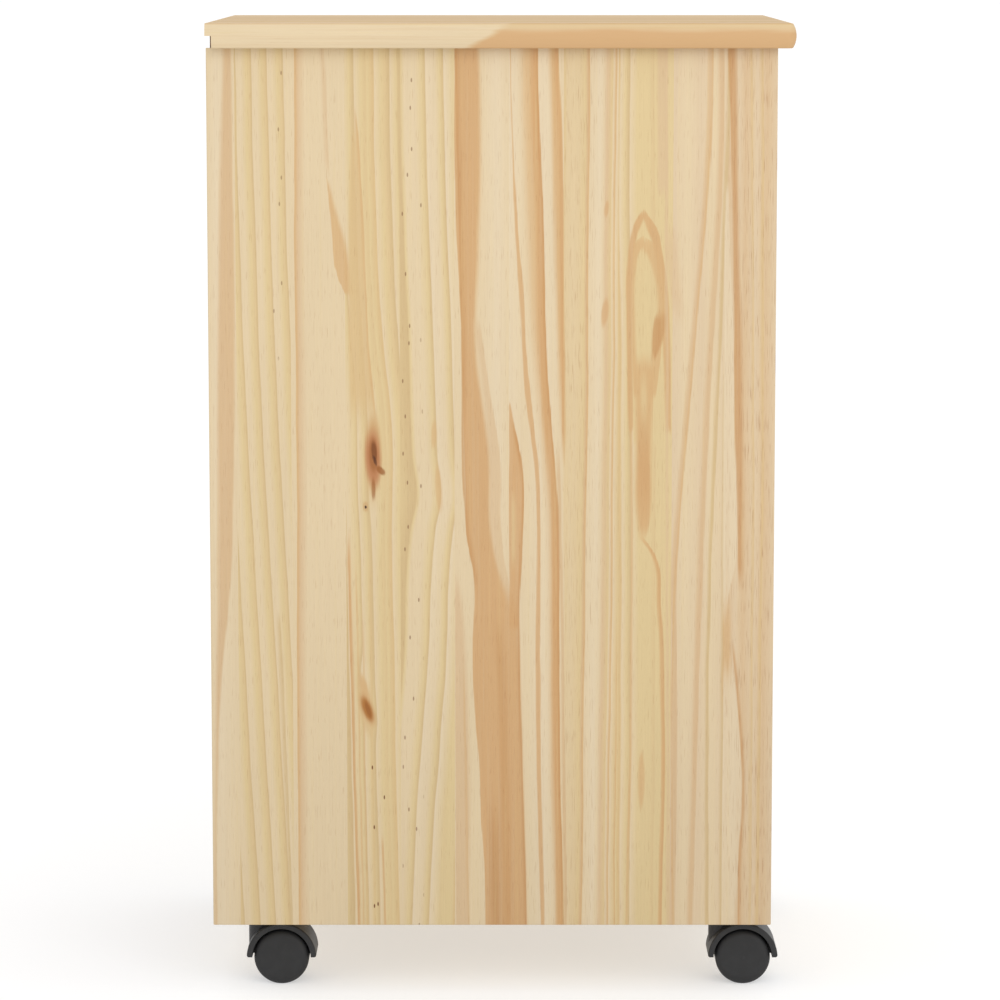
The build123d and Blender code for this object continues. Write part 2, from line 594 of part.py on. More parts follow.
pivot_reach = REVEAL + BUSH_DEPTH - 0.5
with BuildPart() as door_pivot_pins:
    for end_z, up in ((DOOR_Z, 1), (DOOR_Z + DOOR_H, -1)):
        pin_length = PIVOT_IN_DOOR + pivot_reach
        with Locations((PIVOT_X, PIVOT_Y, end_z + up * (PIVOT_IN_DOOR - pin_length / 2))):
            Cylinder(PIVOT_R, pin_length)
    chamfer(door_pivot_pins.edges().filter_by(GeomType.CIRCLE), 0.5)
write(door_pivot_pins.part, "door_pivot_pins")

CATCH_W = 42.0
CATCH_H = 13.0
CATCH_D = 13.0
STRIKE_T = 2.0
catch_x = FRONT_W / 2 - 45.0
catch_front = FRONT_BACK_Y + STRIKE_T + 0.3
with BuildPart() as catch_body:
    with Locations((catch_x, catch_front + CATCH_D / 2, DIVIDER_Z - CATCH_H / 2)):
        Box(CATCH_W, CATCH_D, CATCH_H)
    fillet(catch_body.faces().sort_by(Axis.Z)[0].edges(), 1.5)
write(catch_body.part, "catch_body")

with BuildPart() as strike_plate:
    with Locations((catch_x, FRONT_BACK_Y + STRIKE_T / 2, DIVIDER_Z - CATCH_H / 2)):
        Box(CATCH_W - 6, STRIKE_T, CATCH_H - 3)
    fillet(strike_plate.edges().filter_by(Axis.Y), 3.0)
write(strike_plate.part, "strike_plate")


# ================================================================== casters
# Each caster is drawn with its kingpin on the Z axis and its wheels trailing towards
# -Y, then placed.  Hood and wheels are round about the axle, which runs along X.
WHEEL_R = 24.1
WHEEL_W = 17.0
WHEEL_CROWN = 6.6  # radial width of the rounded outer shoulder
WHEEL_SHOULDER = 5.0  # how far along the axle that shoulder runs
WHEEL_PLAY = 0.5
HUB_R = 6.0
TRAIL = 17.5
WEB_T = 8.0
HOOD_W = 44.0
HOOD_R = 30.6
HOOD_INNER_R = 25.7
HOOD_EASED = 1.4
HOOD_TOE_R = 2.0  # rounds the lower ends of the hood
BOSS_R = 12.0
BOSS_TOP = 57.0
AXLE_R = 2.5
AXLE_LENGTH = 35.0
AXLE_PLAY = 0.05
PLATE_SIZE = 42.0
PLATE_T = 2.0
PLATE_HOLE_PITCH = 30.0
PLATE_HOLE_R = 2.1
KINGPIN_R = 4.0
KINGPIN_NECK_R = 2.5
KINGPIN_FLANGE_R = 7.0
KINGPIN_FLANGE_T = 0.8
KINGPIN_SHOULDER_Z = 47.8
KINGPIN_END_Z = 36.0
KINGPIN_PLAY = 0.05
STEM_INSET = 40.0  # kingpins from the front and rear edges of the sides
CASTER_X = 145.0
CASTERS = {
    "front_left": (-CASTER_X, FRONT_Y + STEM_INSET),
    "front_right": (CASTER_X, FRONT_Y + STEM_INSET),
    "rear_left": (-CASTER_X, REAR_Y - STEM_INSET),
    "rear_right": (CASTER_X, REAR_Y - STEM_INSET),
}

plate_z = CASTER_HEIGHT - PLATE_T
axle_centre = (-TRAIL, WHEEL_R)


def axle_plane(x):
    """A plane across the axle at x, with Y across and Z up as its own axes."""
    return Plane(origin=(x, 0, 0), x_dir=(0, 1, 0), z_dir=(1, 0, 0))


with BuildPart() as caster_plate:
    with BuildSketch(Plane.XY.offset(plate_z)):
        RectangleRounded(PLATE_SIZE, PLATE_SIZE, 5)
        Circle(KINGPIN_R, mode=Mode.SUBTRACT)
        with GridLocations(PLATE_HOLE_PITCH, PLATE_HOLE_PITCH, 2, 2):
            Circle(PLATE_HOLE_R, mode=Mode.SUBTRACT)
    extrude(amount=PLATE_T)

with BuildPart() as caster_kingpin:
    with BuildSketch(Plane.XZ):
        with BuildLine():
            Polyline(
                (0, CASTER_HEIGHT),
                (KINGPIN_R, CASTER_HEIGHT),
                (KINGPIN_R, plate_z),
                (KINGPIN_FLANGE_R, plate_z),
                (KINGPIN_FLANGE_R, plate_z - KINGPIN_FLANGE_T),
                (KINGPIN_R, plate_z - KINGPIN_FLANGE_T),
                (KINGPIN_R, KINGPIN_SHOULDER_Z),
                (KINGPIN_NECK_R, KINGPIN_SHOULDER_Z),
                (KINGPIN_NECK_R, KINGPIN_END_Z),
                (0, KINGPIN_END_Z),
                close=True,
            )
        make_face()
    revolve(axis=Axis.Z)

with BuildPart() as caster_hood:
    with BuildSketch(axle_plane(-HOOD_W / 2)):
        with Locations(axle_centre):
            Circle(HOOD_R)
        with Locations((axle_centre[0], axle_centre[1] - HOOD_R)):
            Rectangle(3 * HOOD_R, 2 * HOOD_R, mode=Mode.SUBTRACT)
    extrude(amount=HOOD_W)
    toe_edges = caster_hood.faces().sort_by(Axis.Z)[0].edges().filter_by(Axis.X)
    fillet(toe_edges, HOOD_TOE_R)
    shell_edges = caster_hood.faces().filter_by(Axis.X).edges()
    fillet(shell_edges.filter_by(GeomType.CIRCLE), HOOD_EASED)
    with Locations((0, 0, (BOSS_TOP + WHEEL_R) / 2)):
        Cylinder(BOSS_R, BOSS_TOP - WHEEL_R)
    for side in (-1, 1):
        with BuildSketch(axle_plane(side * WEB_T / 2)):
            with Locations(axle_centre):
                Circle(HOOD_INNER_R)
        extrude(amount=side * HOOD_W, mode=Mode.SUBTRACT)
    with BuildSketch(axle_plane(-WEB_T / 2)):
        with Locations(axle_centre):
            Circle(HUB_R + 1)
    extrude(amount=WEB_T)
    with BuildSketch(axle_plane(-WEB_T / 2)):
        with Locations(axle_centre):
            Circle(AXLE_R)
    extrude(amount=WEB_T, mode=Mode.SUBTRACT)
    with BuildSketch(Plane.XY.offset(KINGPIN_SHOULDER_Z - 0.3)):
        Circle(KINGPIN_R + KINGPIN_PLAY)
    extrude(amount=CASTER_HEIGHT, mode=Mode.SUBTRACT)
    with BuildSketch(Plane.XY.offset(KINGPIN_END_Z - 1)):
        Circle(KINGPIN_NECK_R + KINGPIN_PLAY)
    extrude(amount=CASTER_HEIGHT, mode=Mode.SUBTRACT)

with BuildPart() as caster_axle:
    with Locations(across(0, -TRAIL, WHEEL_R)):
        Cylinder(AXLE_R, AXLE_LENGTH)
    chamfer(caster_axle.edges(), 0.4)

wheel_inner = WEB_T / 2 + WHEEL_PLAY
wheel_outer = wheel_inner + WHEEL_W
bore_end = AXLE_LENGTH / 2 + 0.5
with BuildPart() as caster_wheel:
    with BuildSketch(Plane(origin=(0, -TRAIL, WHEEL_R), x_dir=(1, 0, 0), z_dir=(0, -1, 0))):
        with BuildLine():
            Polyline(
                (wheel_inner + WHEEL_PLAY, WHEEL_R),
                (wheel_inner + WHEEL_PLAY, WHEEL_R - 3.4),
                (wheel_inner + 10, WHEEL_R - 4.0),
                (wheel_inner + 12, WHEEL_R - 6.0),
                (wheel_inner + 12, HUB_R + 1),
                (wheel_inner + 11, HUB_R),
                (wheel_inner, HUB_R),
                (wheel_inner, AXLE_R + AXLE_PLAY),
                (bore_end, AXLE_R + AXLE_PLAY),
                (bore_end, 0),
                (wheel_outer - 0.4, 0),
            )
            Line((wheel_outer - 0.4, 0), (wheel_outer, WHEEL_R - WHEEL_CROWN - 1.5))
            Spline(
                (wheel_outer, WHEEL_R - WHEEL_CROWN - 1.5),
                (wheel_outer - WHEEL_SHOULDER * 0.3, WHEEL_R - WHEEL_CROWN * 0.28),
                (wheel_outer - WHEEL_SHOULDER, WHEEL_R),
                tangents=((0.02, 1), (-1, 0)),
            )
            Line((wheel_outer - WHEEL_SHOULDER, WHEEL_R), (wheel_inner + WHEEL_PLAY, WHEEL_R))
        make_face()
    revolve(axis=Axis((0, -TRAIL, WHEEL_R), (1, 0, 0)))
caster_wheel_other = mirrored(caster_wheel.part)

SCREW_R = 1.75
SCREW_LENGTH = 15.0
SCREW_HEAD_R = 3.4
SCREW_HEAD_T = 2.0
hole_offset = PLATE_HOLE_PITCH / 2
with BuildPart() as caster_screw:
    with BuildSketch(Plane.XZ):
        with BuildLine():
            Polyline(
                (0, plate_z - SCREW_HEAD_T),
                (0, plate_z + SCREW_LENGTH),
                (SCREW_R * 0.3, plate_z + SCREW_LENGTH),
                (SCREW_R, plate_z + SCREW_LENGTH - 3),
                (SCREW_R, plate_z),
                (SCREW_HEAD_R, plate_z),
            )
            Spline(
                (SCREW_HEAD_R, plate_z),
                (SCREW_HEAD_R * 0.75, plate_z - SCREW_HEAD_T * 0.85),
                (0, plate_z - SCREW_HEAD_T),
                tangents=((0, -1), (-1, 0)),
            )
        make_face()
    revolve(axis=Axis.Z)
    with Locations((0, 0, plate_z - SCREW_HEAD_T)):
        Box(4.2, 0.9, 2.0, mode=Mode.SUBTRACT)
        Box(0.9, 4.2, 2.0, mode=Mode.SUBTRACT)

all_screws = []
for corner, (x, y) in CASTERS.items():
    spot = Location((x, y, 0))
    write(caster_plate.part.moved(spot), f"caster_plate_{corner}")
    write(caster_kingpin.part.moved(spot), f"caster_kingpin_{corner}")
    write(caster_hood.part.moved(spot), f"caster_hood_{corner}")
    write(caster_axle.part.moved(spot), f"caster_axle_{corner}")
    write(caster_wheel.part.moved(spot), f"caster_wheel_{corner}_a")
    write(caster_wheel_other.moved(spot), f"caster_wheel_{corner}_b")
    for dx in (-hole_offset, hole_offset):
        for dy in (-hole_offset, hole_offset):
            all_screws += caster_screw.part.moved(Location((x + dx, y + dy, 0))).solids()
write(Compound(all_screws), "caster_screws")
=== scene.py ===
"""The looks of the kitchen island cart: procedural materials for the CAD nodes, a floor, light and a camera.

The wood is edge-glued pine. One side panel is drawn stave by stave, from tables of lines, patches and spots.
The other boards are cut from a procedural log with growth rings, heartwood and knots. Lengths inside the
materials are in millimetres.
"""

import math
from typing import NamedTuple

import bpy
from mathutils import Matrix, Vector


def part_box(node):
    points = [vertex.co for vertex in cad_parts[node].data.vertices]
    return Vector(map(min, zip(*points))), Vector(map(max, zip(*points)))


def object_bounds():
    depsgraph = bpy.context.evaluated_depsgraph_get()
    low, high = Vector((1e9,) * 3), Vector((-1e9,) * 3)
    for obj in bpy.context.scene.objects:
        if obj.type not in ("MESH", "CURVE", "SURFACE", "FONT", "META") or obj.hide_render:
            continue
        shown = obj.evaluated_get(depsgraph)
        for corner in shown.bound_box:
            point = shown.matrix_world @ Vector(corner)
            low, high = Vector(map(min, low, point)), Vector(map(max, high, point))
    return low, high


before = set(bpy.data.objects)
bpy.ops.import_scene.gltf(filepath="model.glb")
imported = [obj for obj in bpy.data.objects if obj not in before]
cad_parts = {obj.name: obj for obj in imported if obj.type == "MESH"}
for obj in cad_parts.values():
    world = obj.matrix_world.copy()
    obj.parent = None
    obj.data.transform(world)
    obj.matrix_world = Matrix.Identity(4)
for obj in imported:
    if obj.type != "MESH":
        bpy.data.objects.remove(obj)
cad_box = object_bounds()

MM = 1000.0  # the frame is in metres
STAVE = 46.6  # width of one edge-glued stave, mm

# ---------------------------------------------------------------- tones

WALL_BRIGHTNESS = 1.16  # how bright a white side wall shows under the studio light
SHEEN_SHARE = 0.030  # what the lacquer's reflection adds to every tone


def linear(channel):
    """One sRGB channel from 0 to 255 as linear light."""
    share = channel / 255
    return share / 12.92 if share <= 0.04045 else ((share + 0.055) / 1.055) ** 2.4


def shown(red, green, blue):
    """The base colour that shows as this sRGB colour on a wall of the object under the studio light."""
    lit = [(linear(c) - SHEEN_SHARE) / WALL_BRIGHTNESS for c in (red, green, blue)]
    return (*(max(c, 0.002) for c in lit), 1.0)


TONES = {
    "milk": shown(229, 210, 178),
    "cream": shown(227, 206, 170),
    "straw": shown(224, 201, 154),
    "sand": shown(221, 195, 149),
    "wheat": shown(218, 188, 140),
    "olive": shown(211, 184, 139),
    "rose": shown(223, 200, 167),
    "peach": shown(219, 190, 152),
    "tan": shown(214, 180, 139),
    "honey": shown(215, 177, 129),
    "orange": shown(211, 168, 120),
    "amber": shown(201, 154, 105),
    "terracotta": shown(192, 135, 96),
    "russet": shown(178, 122, 70),
    "rust": shown(160, 104, 62),
    "bark": shown(116, 72, 42),
    "pitch": shown(66, 44, 30),
}

# ---------------------------------------------------------------- node graphs


class Field:
    """A number that varies over a surface: a node's output, whose arithmetic adds Math nodes."""

    def __init__(self, graph, socket):
        self.graph = graph
        self.socket = socket

    def math(self, operation, *others):
        return self.graph.math(operation, self, *others)

    def __add__(self, other):
        return self.math("ADD", other)

    def __sub__(self, other):
        return self.math("SUBTRACT", other)

    def __mul__(self, other):
        return self.math("MULTIPLY", other)

    def __truediv__(self, other):
        return self.math("DIVIDE", other)

    def __pow__(self, other):
        return self.math("POWER", other)

    def flipped(self):
        """1 where this is 0, and 0 where it is 1."""
        return self.graph.math("SUBTRACT", 1.0, self)

    def rise(self, low, high, to=1.0):
        """0 up to low, then smoothly up to `to` at high."""
        return self.ease({1: low, 2: high, 3: 0.0, 4: to})

    def fall(self, low, high):
        """1 up to low, then smoothly down to 0 at high."""
        return self.ease({1: low, 2: high, 3: 1.0, 4: 0.0})

    def ease(self, inputs):
        return self.graph.field("MapRange", {0: self, **inputs}, interpolation_type="SMOOTHSTEP")


class Graph:
    """A material and short calls for the nodes that its surface is made of."""

    def __init__(self, name):
        self.material = bpy.data.materials.new(name)
        self.material.use_nodes = True
        self.tree = self.material.node_tree
        self.shader = self.tree.nodes["Principled BSDF"]

    def feed(self, socket, value):
        if isinstance(value, Field):
            value = value.socket
        if isinstance(value, bpy.types.NodeSocket):
            self.tree.links.new(value, socket)
        else:
            socket.default_value = value

    def node(self, kind, inputs, **settings):
        made = self.tree.nodes.new("ShaderNode" + kind)
        for name, value in settings.items():
            setattr(made, name, value)
        for key, value in inputs.items():
            self.feed(made.inputs[key], value)
        return made

    def field(self, kind, inputs, output=0, **settings):
        return Field(self, self.node(kind, inputs, **settings).outputs[output])

    def math(self, operation, *values):
        return self.field("Math", dict(enumerate(values)), operation=operation)

    def vector(self, x=0.0, y=0.0, z=0.0):
        return self.node("CombineXYZ", {0: x, 1: y, 2: z}).outputs[0]

    def split(self, vector):
        made = self.node("SeparateXYZ", {0: vector})
        return [Field(self, output) for output in made.outputs]

    def place(self):
        """The point's x, y and z in the row frame at rest, in millimetres."""
        coordinates = self.node("TexCoord", {}).outputs["Object"]
        scaled = self.node("VectorMath", {0: coordinates, "Scale": MM}, operation="SCALE")
        return self.split(scaled.outputs[0])

    def noise(self, vector, detail=2.0, roughness=0.5, scale=1.0):
        inputs = {"Vector": vector, "Scale": scale, "Detail": detail, "Roughness": roughness}
        return self.field("TexNoise", inputs)

    def chances(self, seed):
        """Three random numbers from 0 to 1 for each whole-number seed."""
        made = self.node("TexWhiteNoise", {"W": seed}, noise_dimensions="1D")
        return self.split(made.outputs["Color"])

    def ramp(self, value, low, high, stops):
        """A colour from stops of (value, tone), where value runs from low to high."""
        share = self.field("MapRange", {0: value, 1: low, 2: high})
        made = self.node("ValToRGB", {0: share})
        elements = made.color_ramp.elements
        while len(elements) < len(stops):
            elements.new(0.5)
        for element, (at, tone) in zip(elements, sorted(stops), strict=True):
            element.position = (at - low) / (high - low)
            element.color = TONES[tone]
        return made.outputs[0]

    def curve(self, share, points):
        """A smooth curve through points of (share, value), all from 0 to 1."""
        made = self.node("FloatCurve", {1: share})
        line = made.mapping.curves[0]
        while len(line.points) < len(points):
            line.points.new(0.5, 0.5)
        for point, place in zip(line.points, points, strict=True):
            point.location = place
        made.mapping.update()
        return Field(self, made.outputs[0])

    def mix(self, share, under, over, blend="MIX"):
        """under where share is 0 and over where it is 1, both of them colours."""
        over = TONES[over] if isinstance(over, str) else over
        made = self.node("Mix", {0: share, 6: under, 7: over}, data_type="RGBA", blend_type=blend)
        return made.outputs[2]

    def brighten(self, colour, factor):
        """colour times factor, a field round 1."""
        grey = self.node("CombineColor", {0: factor, 1: factor, 2: factor}).outputs[0]
        return self.mix(1.0, colour, grey, "MULTIPLY")

    def bump(self, height, depth, strength):
        """A normal for relief that is depth metres deep where height goes from 0 to 1."""
        return self.node("Bump", {"Height": height, "Distance": depth, "Strength": strength}).outputs[0]

    def constant(self, name, value):
        """Sets a number or colour that is the same all over, on the shader's own socket."""
        self.shader.inputs[name].default_value = value

    def finish(self, colour, roughness, normal):
        """Feeds the shader what varies over the surface."""
        self.feed(self.shader.inputs["Base Color"], colour)
        self.feed(self.shader.inputs["Roughness"], roughness)
        self.feed(self.shader.inputs["Normal"], normal)
        return self.material


# ---------------------------------------------------------------- pine


# Every wood texture takes a place as three distances in mm: across the board, along its grain, through it.
# A noise's factors are how many of its features there are in a millimetre each way.


def fibre(g, across, along, thick):
    """The fine lines of wood fibre, round 0.5."""
    return g.noise(g.vector(across * 1.1, along * 0.014, thick * 1.1), detail=3.0, roughness=0.65)


def streaks(g, across, along, thick):
    """Soft streaks a few millimetres wide, round 0.5."""
    return g.noise(g.vector(across * 0.33, along * 0.0035, thick * 0.33), detail=4.0, roughness=0.62)


def resin_dashes(g, across, along, thick):
    """Short dark dashes along the grain, 1 on a dash."""
    dash = g.noise(g.vector(across * 1.35, along * 0.06, thick * 1.35), detail=1.0)
    return dash.rise(0.63, 0.72)


def dress(g, colour, across, along, thick, dashes=0.2, streaking=0.5):
    """Puts streaks, fibre and resin dashes on a board's colour."""
    streak = streaks(g, across, along, thick)
    colour = g.mix(streak.rise(0.5, 0.72, streaking), colour, "straw")
    colour = g.mix(streak.fall(0.3, 0.5) * (streaking * 0.6), colour, "peach")
    colour = g.mix(resin_dashes(g, across, along, thick) * dashes, colour, "rust")
    broad = g.noise(g.vector(across * 0.02, along * 0.004, thick * 0.02), detail=1.0)
    fibres = fibre(g, across, along, thick)
    return g.brighten(colour, fibres * 0.13 + streak * 0.05 + broad * 0.07 + 0.878)


def wood_finish(g, colour, late, fibres, lacquer=0.46):
    """The satin surface of wood: late is how much of the point is hard latewood, from 0 to 1."""
    relief = fibres * 0.6 + late * 0.5
    normal = g.bump(relief, 0.00012, 0.55)
    roughness = fibres * 0.16 + late * -0.06 + lacquer
    g.constant("Specular IOR Level", 0.3)
    return g.finish(colour, roughness, normal)


# The log that boards are cut from.
KNOT_GRID_ACROSS = 150.0
KNOT_GRID_ALONG = 380.0
KNOT_RADIUS = 0.034  # share of the knot grid's cell
KNOT_PUSH = 9.0  # how far a knot pushes the rings out at its middle
PITH_NEAREST = 10.0  # how far to the side of a stave's middle the log's pith lies, at least
PITH_SPREAD = 120.0  # over how wide a strip it may lie, besides that
PITH_DEPTH = 9.0  # how far below the board's zero plane it lies, at least
PITH_DEPTH_SPREAD = 26.0
RING_SPREAD = 6.5  # how much wider than Log.ring the rings of a stave may be
HEART_SPREAD = 42.0  # how much the radius of the heartwood may differ between staves
HEART_LEAST = -6.0  # below zero, so that some staves have none
# (distance from a knot's middle in knot radii, tone)
KNOT_TONES = ((0.0, "bark"), (0.5, "russet"), (0.85, "rust"), (1.05, "bark"), (1.2, "rust"))


class Log(NamedTuple):
    """How a board's staves were cut from their log: all lengths in millimetres."""

    seed: float
    stave: float = STAVE
    ring: float = 4.0  # narrowest spacing of the growth rings
    knots: float = 0.3  # share of the places for a knot that hold one
    orange: float = 0.6  # how much the latewood and heartwood stand out


def log_pine(g, across, along, thick, log):
    """Staves cut from a log: (colour, latewood share)."""
    place = across / log.stave + log.seed * 0.37
    stave = place.math("FLOOR")
    inside = (place - stave - 0.5) * log.stave
    side, depth, spacing = g.chances(stave + log.seed * 17.0)
    warmth, paleness, heart = g.chances(stave + (log.seed * 17.0 + 200.0))

    # A knot may sit in each cell of a loose grid. The rings flow round it.
    cells = g.vector(across / KNOT_GRID_ACROSS + log.seed, along / KNOT_GRID_ALONG + log.seed * 1.7)
    knot_cell = g.node("TexVoronoi", {"Vector": cells, "Scale": 1.0}, voronoi_dimensions="2D")
    knot_chance = g.split(knot_cell.outputs["Color"])[0]
    absent = knot_chance.math("GREATER_THAN", log.knots) * 40.0
    from_knot = Field(g, knot_cell.outputs["Distance"]) / KNOT_RADIUS + absent
    push = (from_knot * from_knot * -0.16).math("EXPONENT") * KNOT_PUSH

    wander = g.noise(g.vector(stave * 7.3 + log.seed, along * 0.0024), detail=1.0) - 0.5
    ripple = g.noise(g.vector(inside * 0.03, along * 0.006, stave * 3.1), detail=2.0) - 0.5
    sided = (side - 0.5).math("SIGN") * ((side - 0.5).math("ABSOLUTE") * PITH_SPREAD + PITH_NEAREST)
    from_pith_across = inside - sided + wander * 34.0
    tilt = paleness - 0.5
    lean = tilt * tilt * tilt * 0.42  # most staves run almost straight, and a few cut the rings at a slant
    from_pith_down = thick + (depth * PITH_DEPTH_SPREAD + PITH_DEPTH) + along * lean
    squares = from_pith_across * from_pith_across + from_pith_down * from_pith_down
    radius = squares.math("SQRT") + ripple * 2.4 + push

    ring = radius / (spacing * RING_SPREAD + log.ring)
    late = ring.math("FRACT") ** 2.2
    heart_edge = heart * HEART_SPREAD + HEART_LEAST
    heartwood = (radius - heart_edge).fall(0.0, 7.0)

    base = g.mix(warmth, TONES["cream"], "straw")
    base = g.mix(paleness * 0.5, base, "milk")
    colour = g.mix(heartwood * log.orange, base, "orange")
    line_tone = g.mix(heartwood * warmth.rise(0.2, 0.6), TONES["olive"], "amber")
    colour = g.mix(late * (warmth * 0.4 + 0.6) * (log.orange * 1.6), colour, line_tone)
    colour = dress(g, colour, across, along, thick)
    halo = from_knot.fall(1.0, 2.8)
    colour = g.mix(halo * 0.55, colour, "amber")
    knot = g.ramp(from_knot, 0.0, 1.2, KNOT_TONES)
    return g.mix(from_knot.fall(0.95, 1.2), colour, knot), late


def board(name, log, across, along, thick):
    """A board's material. Each direction is an axis letter, with a minus sign if it points backwards."""
    g = Graph(name)
    place = dict(zip("xyz", g.place(), strict=True))
    ways = [place[way[-1]] * (-1.0 if way[0] == "-" else 1.0) for way in (across, along, thick)]
    colour, late = log_pine(g, *ways, log)
    return wood_finish(g, colour, late, fibre(g, *ways))


WORKTOP_SHADE_AND_TONE = (0.95, 0.85, 0.73, 1.0)  # painted shade and a yellower tone: the upper face darker than the edges, as the light falls more from the front than from above
FIRST_STAVE = 30.0  # how wide the worktop's left stave is
HEART_START = 222.0  # how far from the rear its heartwood starts, at the lower edge
HEART_SLANT = 1.7  # how much further to the front it starts for each millimetre up
HEART_TOP = 20.4  # how high its heartwood reaches above the underside
UPPER_FACE = (19.6, 20.8)  # the painted shade and yellower tone start and are full at these heights above the underside


def top_board():
    """The worktop: its staves run front to back. The left one turns to heartwood towards the front."""
    low, high = (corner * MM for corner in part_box("top_board"))
    g = Graph("pine_top")
    x, y, z = g.place()
    colour, late = log_pine(g, x, y, z, Log(5, knots=0.0, orange=0.45))
    from_rear = (y * -1.0) + high.y
    above = z - low.z
    ragged = g.noise(g.vector(x * 0.02, y * 0.014, z * 0.16), detail=3.0) - 0.5
    first_stave = (x - (low.x + FIRST_STAVE)).math("LESS_THAN", 0.0)
    clear = g.mix(ragged * 0.6 + 0.3, TONES["cream"], "milk")
    colour = g.mix(first_stave, colour, dress(g, clear, x, y, z, 0.05))
    starts = from_rear - (above * HEART_SLANT + HEART_START) + ragged * 26.0
    below_top = (above * -1.0 + HEART_TOP) + ragged * 7.0
    begun = starts.rise(-5.0, 7.0)
    heart = begun * below_top.rise(0.0, 8.0) * first_stave
    colour = g.mix(heart * 0.85, colour, "orange")
    colour = g.mix(begun * first_stave * heart.flipped() * 0.6, colour, "wheat")
    # painted shade on the upper face, with a yellower tone
    colour = g.mix(above.rise(*UPPER_FACE), colour, WORKTOP_SHADE_AND_TONE, "MULTIPLY")
    return wood_finish(g, colour, late, fibre(g, x, y, z), 0.52)


# ---------------------------------------------------------------- the drawn side panel


# Places on this panel are in mm: across from its rear edge, and down from its top.
ABOVE = -50  # past the panel's top
BELOW = 809  # past its foot


class Stave(NamedTuple):
    """One stave of the drawn panel."""

    start: float
    lines: tuple  # (across from the stave's start, tone) at the panel's top
    drift: tuple = ()  # (down, how far the lines have moved to the front)
    period: float = 0.0  # the lines repeat at this spacing, if it isn't 0


class Band(NamedTuple):
    """A patch of one tone between two edges that run down the panel."""

    tone: str
    strength: float
    rear: tuple  # (down, across) points of the edge nearer the rear
    front: tuple | float  # the same for the edge nearer the front, or how wide the patch is
    soft: tuple = (0.8, 0.8)  # how far the rear and the front edge fade
    ends: tuple = (ABOVE, BELOW)  # where it starts and stops, down
    fade: float = 12.0  # how far the ends fade


class Spot(NamedTuple):
    """An oval patch, such as a knot or its core."""

    tone: str
    strength: float
    across: float
    down: float
    half_width: float
    half_length: float
    lean: float = 0.0  # how far it leans to the front for each millimetre down


PANEL_STAVES = (
    Stave(0.0, ((0, "cream"), (8, "milk"), (23, "cream"))),
    Stave(
        23.9,
        ((0, "cream"), (4, "cream"), (8.4, "straw"), (11.4, "sand"), (12.8, "olive"), (13.4, "cream")),
        ((0, 1.2), (244, 6.2), (511, 18.5), (759, 31)),
        13.5,
    ),
    Stave(70.5, ((0, "cream"), (3.6, "cream"), (4.4, "honey"), (7, "peach"), (13, "cream"), (46, "cream"))),
    Stave(
        117.1,
        (
            (-24, "straw"), (-14, "olive"), (-13, "cream"), (-4, "straw"), (-2, "olive"), (-1.4, "cream"),
            (4, "straw"), (7.6, "olive"), (8.4, "cream"), (14, "straw"), (18, "sand"), (19.4, "straw"),
            (24.6, "wheat"), (25.4, "cream"), (31, "straw"), (34.5, "sand"), (38, "olive"), (38.8, "cream"),
            (44, "straw"), (46, "olive"), (47, "straw"),
        ),
        ((0, 0), (150, 2), (257, 7.5), (315, 13), (400, 14), (759, 20)),
    ),
    Stave(
        163.7,
        (
            (-20, "straw"), (0, "olive"), (1.4, "straw"), (4, "cream"), (13, "cream"), (19, "straw"),
            (21.8, "olive"), (22.4, "milk"), (30, "cream"), (34, "straw"), (37.0, "olive"), (37.6, "milk"),
            (46, "straw"), (56, "straw"), (58, "wheat"), (59, "cream"),
        ),
        (
            (0, 0), (127, 2.3), (257, 7.3), (347, 9.9), (382, 12.9), (412, 7.7), (455, 4.3), (511, 2.6),
            (608, -4.3), (663, -8.7), (727, -11.7),
        ),
    ),
    Stave(210.3, ((0, "cream"), (24, "cream"), (36, "milk"), (46, "cream"))),
    Stave(256.9, ((0, "milk"), (14, "cream"), (30, "milk"), (46, "cream"))),
    Stave(
        303.5,
        (
            (-4, "cream"), (1, "sand"), (2.4, "cream"), (9, "milk"), (14, "cream"), (18, "straw"),
            (20.6, "tan"), (21.8, "honey"), (22.4, "cream"), (31, "milk"), (34, "cream"), (37, "peach"),
            (41, "sand"), (42.4, "cream"), (44.4, "honey"), (45.2, "cream"), (49, "sand"), (50.2, "honey"),
            (50.8, "straw"),
        ),
        ((0, 0), (300, -1.4), (600, -4), (759, -5)),
    ),
    Stave(
        350.1,
        (
            (-4, "straw"), (0, "wheat"), (1.6, "cream"), (5.6, "straw"), (9, "olive"), (9.8, "cream"),
            (16, "straw"), (26, "straw"), (30, "sand"), (31, "straw"), (36, "straw"), (46.6, "straw"),
        ),
        ((0, 0), (120, 0), (220, 1.5), (759, 2.0)),
    ),
    Stave(396.7, ((0, "rose"), (12, "cream"), (24, "rose"), (34, "cream"), (46, "rose"))),
    Stave(443.3, ((0, "peach"), (9, "rose"), (15, "peach"), (24, "rose"), (33, "peach"), (42, "rose"))),
)


def line(tone, strength, width, path, soft=(1.2, 0.6), ends=(ABOVE, BELOW), fade=20.0):
    """A band of one width, whose rear edge follows the path."""
    return Band(tone, strength, path, width, soft, ends, fade)


